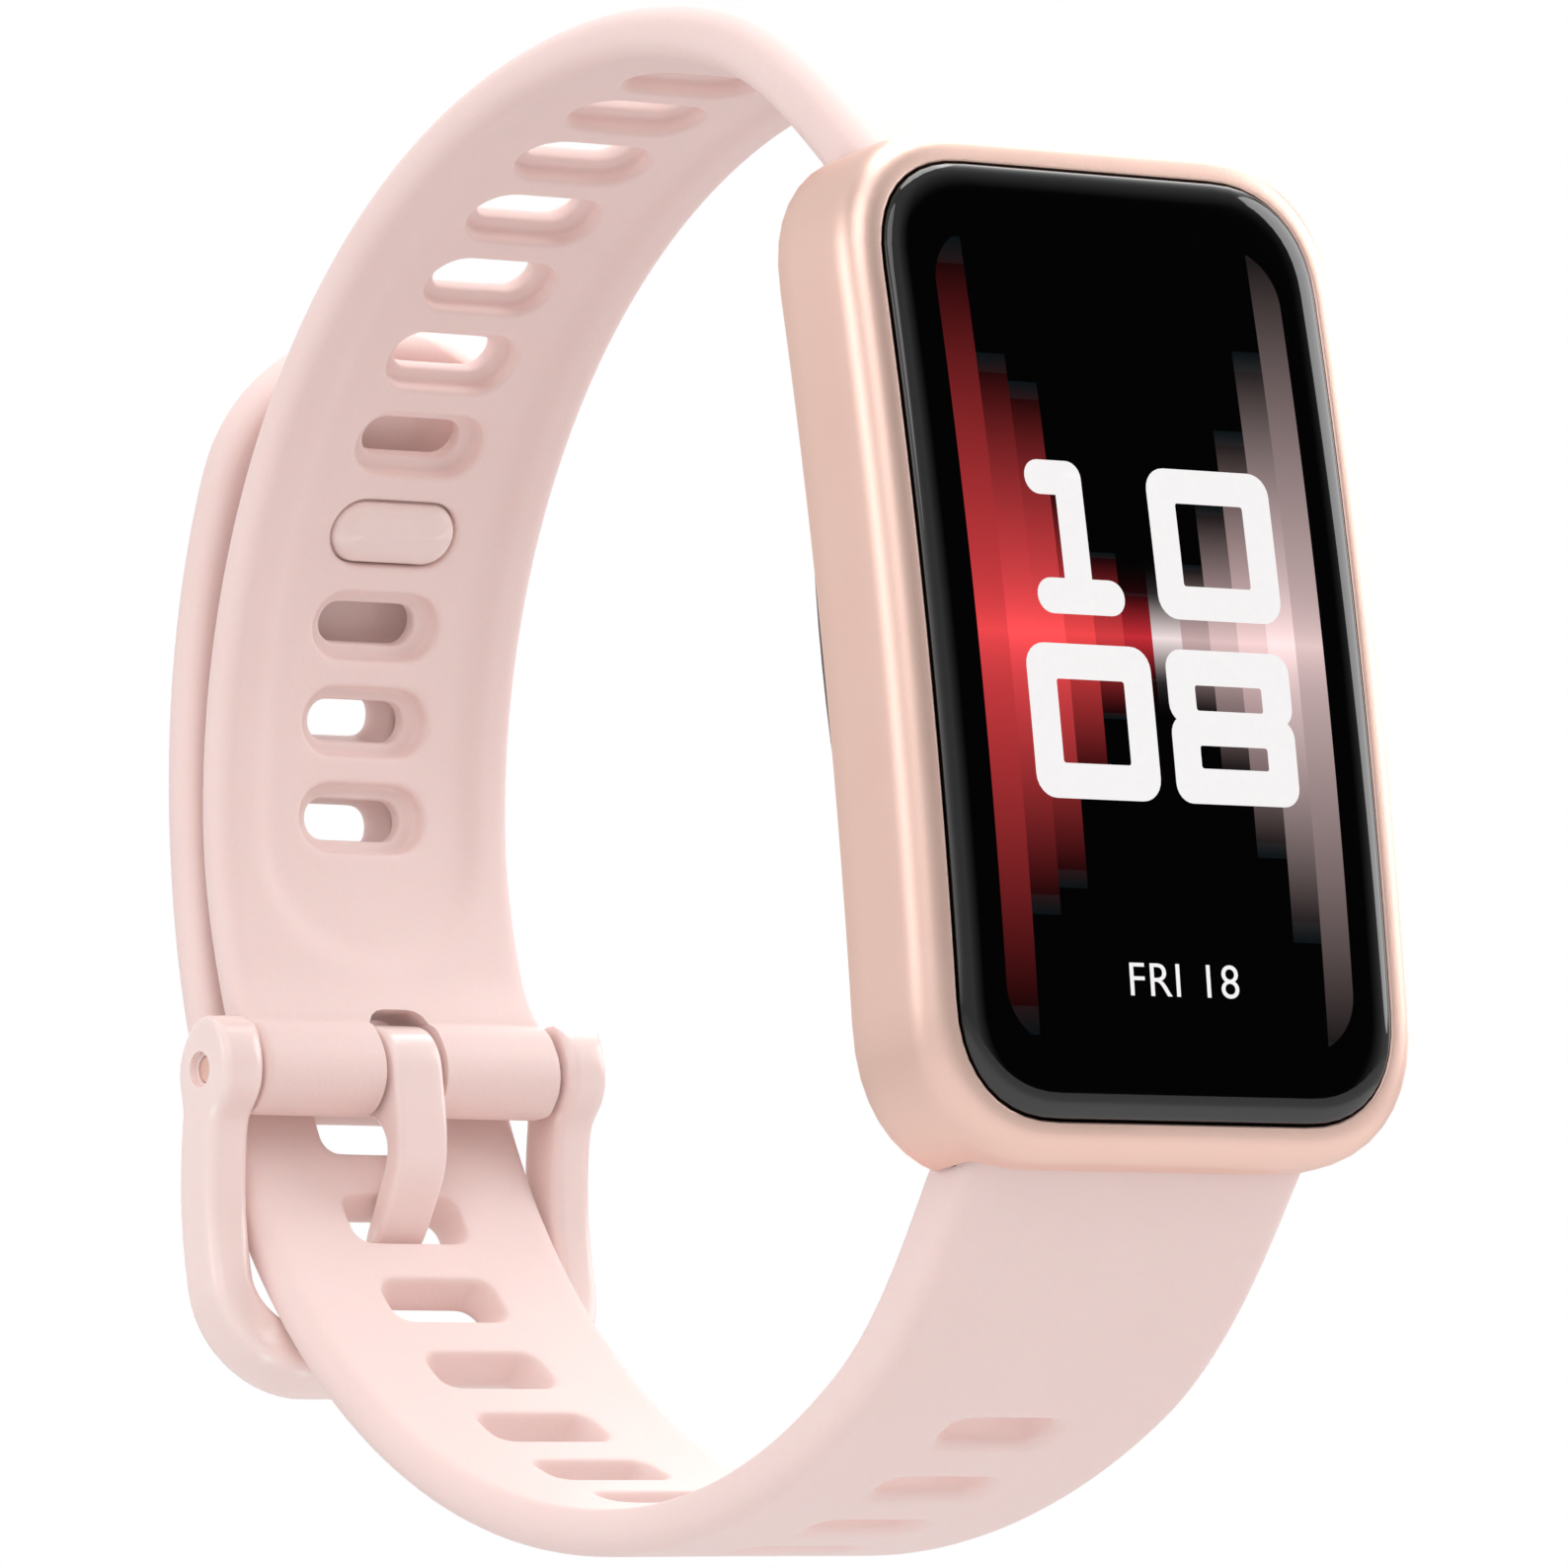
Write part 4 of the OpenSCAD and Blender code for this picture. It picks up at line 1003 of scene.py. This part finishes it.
# ---- display pattern
# each bar's half height in millimetres, and its colour
BARS = [(16.2, (0.66, 0.05, 0.056)), (11.4, (0.84, 0.068, 0.076)), (10.3, (0.84, 0.068, 0.076)),
        (6.4, (0.68, 0.05, 0.055)), (3.4, (0.5, 0.035, 0.04)), (1.8, (0.42, 0.02, 0.028)),
        (1.8, (0.66, 0.56, 0.56)), (3.1, (0.44, 0.31, 0.31)), (5.6, (0.58, 0.41, 0.41)),
        (8.8, (0.74, 0.52, 0.52)), (12.2, (0.86, 0.64, 0.64)), (17.4, (0.6, 0.44, 0.44))]


def bar_ramp(tree, position, values):
    ramp = tree.nodes.new("ShaderNodeValToRGB")
    ramp.color_ramp.interpolation = "CONSTANT"
    stops = ramp.color_ramp.elements
    while len(stops) > 1:
        stops.remove(stops[-1])
    stops[0].position, stops[0].color = 0.0, (*values[0], 1)
    for i, v in enumerate(values[1:], 1):
        stops.new(i / len(values)).color = (*v, 1)
    tree.links.new(position, ramp.inputs["Fac"])
    return ramp.outputs["Color"]


def display_bars_group():
    """The glow of the screen: upright bars, each brightest on the line across its middle."""
    tree, gin, gout = new_group("display_bars", [("Vector", "Place", (0, 0, 0))],
                                [("Color", "Glow")])
    calc, link = partial(maths, tree), tree.links.new
    split = tree.nodes.new("ShaderNodeSeparateXYZ")
    link(gin.outputs["Place"], split.inputs[0])
    x, z = split.outputs["X"], split.outputs["Z"]
    u = calc("MULTIPLY_ADD", x, 1 / DISPLAY_W, 0.5)
    colour = bar_ramp(tree, u, [c for _, c in BARS])
    reach = calc("MULTIPLY", bar_ramp(tree, u, [(h / 20,) * 3 for h, _ in BARS]), 20.0)
    t = calc("DIVIDE", calc("ABSOLUTE", z), reach)
    fall = calc("POWER", calc("SUBTRACT", 1.0, t, clamp=True), 1.45)
    inside = calc("LESS_THAN", calc("ABSOLUTE", calc("SUBTRACT", u, 0.5)), 0.5)
    # rounded corners of the lit area
    cx, cz = (calc("MAXIMUM", calc("SUBTRACT", calc("ABSOLUTE", v), size / 2 - DISPLAY_R), 0.0)
              for v, size in ((x, DISPLAY_W), (z, DISPLAY_H)))
    corner = calc("SQRT", calc("ADD", calc("MULTIPLY", cx, cx),
                                       calc("MULTIPLY", cz, cz)))
    lit = calc("MULTIPLY", inside, calc("LESS_THAN", corner, DISPLAY_R))
    # the thin cool cap where each bar ends
    near_end = calc("MULTIPLY", calc("GREATER_THAN", t, 0.93), calc("LESS_THAN", t, 1.0))
    streak = calc("POWER", calc("SUBTRACT", 1.0, calc("MULTIPLY",
                   calc("ABSOLUTE", z), 0.28), clamp=True), 3.0)
    power = calc("MULTIPLY", calc("MULTIPLY_ADD", streak, 0.32, fall), lit)
    lit_colour = tree.nodes.new("ShaderNodeVectorMath")
    lit_colour.operation = "SCALE"
    link(colour, lit_colour.inputs[0])
    link(power, lit_colour.inputs["Scale"])
    caps = tree.nodes.new("ShaderNodeVectorMath")
    caps.operation = "MULTIPLY_ADD"
    caps.inputs[0].default_value = (0.003, 0.006, 0.007)
    link(calc("MULTIPLY", near_end, lit), caps.inputs[1])
    link(lit_colour.outputs[0], caps.inputs[2])
    link(caps.outputs[0], gout.inputs["Glow"])
    return tree


def hazed(tree, shader, place, scale, swing, least):
    """A polished surface whose roughness wanders a little."""
    haze = maths(tree, "MULTIPLY_ADD", noise(tree, place, scale, 3), swing, least)
    tree.links.new(haze, shader.inputs["Roughness"])


def glass_material():
    mat, tree, shader = new_material("domed_cover_glass", Base_Color=(0.0012, 0.0012, 0.0014, 1), IOR=1.5,
                                     Specular_IOR_Level=0.85, Emission_Strength=1.0)
    mm = millimetres(tree)
    hazed(tree, shader, mm, 0.35, 0.03, 0.02)
    glow = place_group(tree, display_bars_group(), Place=mm)
    tree.links.new(glow.outputs["Glow"], shader.inputs["Emission Color"])
    return mat


def lit_mark_material():
    mat, tree, shader = new_material("lit_white_marks", Base_Color=(0.02, 0.02, 0.02, 1),
                                     Specular_IOR_Level=0.5, Emission_Strength=1.0)
    mm = millimetres(tree)
    hazed(tree, shader, mm, 0.35, 0.03, 0.02)
    glow = mix_colour(tree, noise(tree, mm, 3.0, 1), (0.88, 0.86, 0.86), (0.92, 0.9, 0.9))
    tree.links.new(glow, shader.inputs["Emission Color"])
    return mat


# the edge settings below paint a highlight along the sharp edges of the metal, buckle and stud
SATIN = grained("satin_rose_metal", (0.93, 0.665, 0.575), (0.9, 0.62, 0.53), 0.42, 9.0, 0.0035, edge=2.5,
                edge_highlight_colour=(0.9, 0.7, 0.63), Metallic=1.0)
STRAP = grained("soft_pink_elastomer", (0.9, 0.708, 0.675), (0.875, 0.675, 0.64), 0.56, 5.0, 0.006,
                Sheen_Weight=0.15, Sheen_Roughness=0.5, Subsurface_Weight=0.12, Subsurface_Scale=0.0012,
                Specular_IOR_Level=0.35)
BUCKLE = grained("pink_buckle_plastic", (0.93, 0.75, 0.715), (0.905, 0.715, 0.68), 0.24, 3.0, 0.002,
                 edge=5.0, edge_highlight_colour=(1.0, 0.87, 0.84), Subsurface_Weight=0.1, Subsurface_Scale=0.001,
                 Coat_Weight=0.35, Coat_Roughness=0.12)
STUD = grained("pink_stud_plastic", (0.9, 0.725, 0.69), (0.875, 0.69, 0.655), 0.4, 3.0, 0.002,
               edge=2.0, edge_highlight_colour=(0.94, 0.78, 0.75), Subsurface_Weight=0.1, Subsurface_Scale=0.001)
BLACK_COVER = grained("matte_black_cover", (0.02, 0.02, 0.022), (0.012, 0.012, 0.014), 0.38, 7.0, 0.003)
STEEL = grained("bright_steel", (0.68, 0.67, 0.67), (0.55, 0.54, 0.54), 0.26, 4.0, 0.002, Metallic=1.0)
GOLD = grained("gold_contact", (0.9, 0.68, 0.34), (0.8, 0.56, 0.26), 0.24, 4.0, 0.0015, Metallic=1.0)
RUBBER = grained("grey_seal_rubber", (0.05, 0.05, 0.05), (0.03, 0.03, 0.03), 0.7, 6.0, 0.006)
BOARD = grained("green_board", (0.03, 0.16, 0.08), (0.02, 0.11, 0.06), 0.4, 2.0, 0.01)
CHIP = grained("moulded_chip", (0.03, 0.03, 0.032), (0.02, 0.02, 0.02), 0.6, 5.0, 0.005)
FOIL = grained("pouch_foil", (0.62, 0.64, 0.68), (0.5, 0.52, 0.56), 0.35, 1.2, 0.02, Metallic=0.9)
CHASSIS = grained("machined_chassis", (0.62, 0.63, 0.65), (0.5, 0.51, 0.53), 0.4, 3.0, 0.004, Metallic=1.0)
FLEX = grained("amber_flex", (0.62, 0.26, 0.04), (0.5, 0.2, 0.03), 0.35, 2.0, 0.003)
FILM = grained("black_film", (0.03, 0.03, 0.03), (0.015, 0.015, 0.015), 0.5, 3.0, 0.002)
LED = grained("clear_green_led", (0.25, 0.8, 0.3), (0.15, 0.6, 0.2), 0.2, 2.0, 0.001)
SCREEN = grained("dark_screen", (0.01, 0.01, 0.02), (0.005, 0.005, 0.01), 0.15, 1.0, 0.0)
GLASS = glass_material()
MARKS = lit_mark_material()


def window_material():
    """Dark tinted sensor window: the lamps and eyes behind it show as soft patches."""
    mat, tree, shader = new_material("sensor_window_tint", IOR=1.52, Coat_Weight=0.4, Coat_Roughness=0.03)
    calc = partial(maths, tree)
    mm = millimetres(tree)
    split = tree.nodes.new("ShaderNodeSeparateXYZ")
    tree.links.new(mm, split.inputs[0])
    x, z = split.outputs["X"], split.outputs["Z"]

    def patch(middle, half):
        dx, dz = (calc("SUBTRACT", calc("ABSOLUTE", calc("SUBTRACT", v, m)), h)
                  for v, m, h in zip((x, z), middle, half))
        return calc("MULTIPLY_ADD", calc("MAXIMUM", dx, dz), -6.0, 0.5, clamp=True)
    colour = mix_colour(tree, noise(tree, mm, 0.8, 2), (0.006, 0.004, 0.005), (0.012, 0.006, 0.007))
    lamp, eye = (0.75, 0.4), (0.75, 1.15)
    for middle, half, tint in (((0, 0.8), lamp, (0.03, 0.09, 0.03)), ((0, -0.8), lamp, (0.13, 0.012, 0.012)),
                               ((-2.9, 0), eye, (0.035, 0.035, 0.06)), ((2.9, 0), eye, (0.035, 0.035, 0.06))):
        colour = mix_colour(tree, patch(middle, half), colour, tint)
    tree.links.new(colour, shader.inputs["Base Color"])
    hazed(tree, shader, mm, 0.5, 0.04, 0.05)
    return mat


WINDOW = window_material()

# ---- the pieces on their bodies
piece(make_case_frame(), "band", "satin_metal", SATIN, "case_frame")
piece(make_glass(), "band", "cover_glass", GLASS, "cover_glass")
piece(make_digits(), "band", "panel", MARKS)
piece(make_day_text(), "band", "panel", MARKS)
piece(make_rear_cover(), "band", "black_cover", BLACK_COVER, "rear_cover")
piece(round_on_dome("sensor_window_lens", 0, 0, SENSOR_R, 0.1, 0.16, 0.8),
      "band", "window", WINDOW, "sensor_window")
for i, side in ((1, -1), (2, 1)):
    pad = round_on_dome(f"charge_contact_pad_{i}", side * CONTACT_X, CONTACT_Z, CONTACT_R, 0.04, 0.1, 0.9)
    piece(pad, "band", "gold", GOLD, f"charge_contact_{i}")
piece(make_upper_strap(), "band", "strap", STRAP, "upper_strap")
piece(make_lower_strap(), "band", "strap", STRAP, "lower_strap")
piece(make_buckle_frame(), "buckle", "buckle", BUCKLE, "buckle_frame")
piece(make_tongue(), "tongue", "buckle", BUCKLE, "buckle_tongue")
piece(make_stud(), "band", "buckle", STUD, "strap_stud")
for side, z in (("upper", ROOT_Z), ("lower", -ROOT_Z)):
    coil = piece(make_bar_spring(side + "_bar_coil", z), "band", "steel", STEEL, side + "_bar_spring")
    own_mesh(coil)
button = bmesh.new()
button_outline(button, CASE_W / 2 - 0.35, CASE_W / 2 + 0.32, soft=0.28)
piece(sharpened(to_object("side_button_cap", button), 40), "side_button", "satin_metal", SATIN, "button_cap")

NODE_FINISH = [
    (RUBBER, "rear_gasket", "foam_pad", "button_seal"),
    (FILM, "display_adhesive", "battery_tape"),
    (SCREEN, "display_panel"),
    (CHASSIS, "chassis"),
    (BOARD, "main_board", "sensor_board"),
    (CHIP, "processor_chip", "memory_chip", "photodiode_1", "photodiode_2", "button_switch"),
    (FOIL, "battery"),
    (GOLD, "motor_rotor", "antenna"),
    (LED, "sensor_led_1", "sensor_led_2"),
    (BLACK_COVER, "sensor_barrier"),
    (FLEX, "contact_flex", "display_flex"),
    (SATIN, "buckle_pin"),
    (STEEL, "chassis_screw_1", "chassis_screw_2", "chassis_screw_3", "shield_can", "motor_can", "motor_shaft",
     "button_clip", "upper_bar_sleeve", "upper_bar_pin", "lower_bar_sleeve", "lower_bar_pin")]
for finish, *names in NODE_FINISH:
    for name in names:
        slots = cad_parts[name].data.materials
        if not slots:
            slots.append(finish)
        for k in range(len(slots)):
            slots[k] = finish


# ---- studio
def soft_light(name, place, size, power):
    """A round soft light that looks at the middle of the loop; place and size in metres, power in watts."""
    data = bpy.data.lights.new(name, "AREA")
    data.shape, data.size, data.energy = "DISK", size, power
    obj = new_object(name, data)
    obj.location = place
    obj.rotation_euler = (-Vector(place)).to_track_quat("-Z", "Y").to_euler()


def plain_floor():
    bm = bmesh.new()
    bmesh.ops.create_grid(bm, x_segments=1, y_segments=1, size=FLOOR_SIZE)
    bmesh.ops.translate(bm, verts=bm.verts, vec=(0, 0, FLOOR_Z))
    obj = to_object("studio_floor", bm)
    obj.data.materials.append(grained("pale_floor", (0.7, 0.69, 0.69), (0.68, 0.67, 0.67), 0.8, 0.5, 0.0))


def studio_world():
    """White round about, with a dark card where the flat of the glass looks."""
    world = bpy.data.worlds.new("studio")
    bpy.context.scene.world = world
    world.use_nodes = True
    tree = world.node_tree
    calc = partial(maths, tree)
    back = tree.nodes["Background"]
    coord = tree.nodes.new("ShaderNodeTexCoord")

    def along(direction):
        dot = tree.nodes.new("ShaderNodeVectorMath")
        dot.operation = "DOT_PRODUCT"
        tree.links.new(coord.outputs["Generated"], dot.inputs[0])
        dot.inputs[1].default_value = direction
        return dot.outputs["Value"]

    def within(value, middle, half, soft):
        far = calc("ABSOLUTE", calc("SUBTRACT", value, middle))
        return calc("MULTIPLY_ADD", far, -1 / soft, (half + soft) / soft, clamp=True)
    x, y, z = along((1, 0, 0)), along((0, 1, 0)), along((0, 0, 1))
    card = calc("MULTIPLY", within(along((0.8, 0.6, 0)), 0, 0.07, 0.3), within(z, 0.187, 0.2, 0.3))
    card = calc("MULTIPLY", card, calc("GREATER_THAN", along((0.6, -0.8, 0)), 0))
    shade = mix_colour(tree, card, (0.77, 0.765, 0.765), (0.0, 0.0, 0.0))
    path = tree.nodes.new("ShaderNodeLightPath")
    front = calc("MULTIPLY", calc("LESS_THAN", y, 0.1), path.outputs["Is Glossy Ray"])
    shade = mix_colour(tree, calc("MULTIPLY", front, 0.45), shade, (0.0, 0.0, 0.0))
    # bright strips that the rounded edges of the glass pick up: each lies across one direction, grows
    # along another from start to end, and shows on one side only
    strips = [(x, 0.589, 0.1, 0.08, y, -0.55, 0.1, z, 1, 4.5),
              (z, 0.187, 0.08, 0.08, x, 0.1, -0.98, y, -1, 1.3),
              (z, 0.187, 0.08, 0.1, y, -0.4, 0.3, x, 1, 2.0)]
    for across, middle, half, soft, run, start, end, side, sign, power in strips:
        rise = calc("MULTIPLY_ADD", run, 1 / (end - start), -start / (end - start), clamp=True)
        band = calc("MULTIPLY", within(across, middle, half, soft), calc("MULTIPLY", rise, rise))
        far_side = calc("GREATER_THAN", calc("MULTIPLY", side, sign), -0.2 if sign < 0 else 0.3)
        band = calc("MULTIPLY", calc("MULTIPLY", band, far_side), path.outputs["Is Glossy Ray"])
        shade = mix_colour(tree, band, shade, (power, power, power))
    colour = mix_colour(tree, path.outputs["Is Camera Ray"], shade, (1.0, 1.0, 1.0))
    tree.links.new(colour, back.inputs["Color"])
    back.inputs["Strength"].default_value = 1.0


plain_floor()
studio_world()
soft_light("top_light", (0.12, -0.1, 0.55), 0.4, 1.35)
soft_light("left_light", (-0.55, 0.1, 0.2), 0.3, 0.4)
soft_light("front_light", (-0.3, -0.42, 0.36), 0.5, 1.0)
soft_light("right_light", (0.5, -0.22, 0.2), 0.4, 1.1)

camera_data = bpy.data.cameras.new("camera")
camera_data.lens, camera_data.sensor_width = 271.2, 36.0
camera_data.clip_start, camera_data.clip_end = 0.01, 20
camera = new_object("camera", camera_data)
right = Vector((0.8073, -0.5824, -0.0950))
down = Vector((0.0344, 0.2071, -0.9777))
ahead = Vector((0.5891, 0.7861, 0.1872))
axes = Matrix((right, -down, -ahead)).transposed().to_4x4()
camera.matrix_world = Matrix.Translation(Vector((-289.5, -387.5, -92.6)) * MM) @ axes
bpy.context.scene.camera = camera
bpy.context.scene.view_settings.view_transform = "Standard"
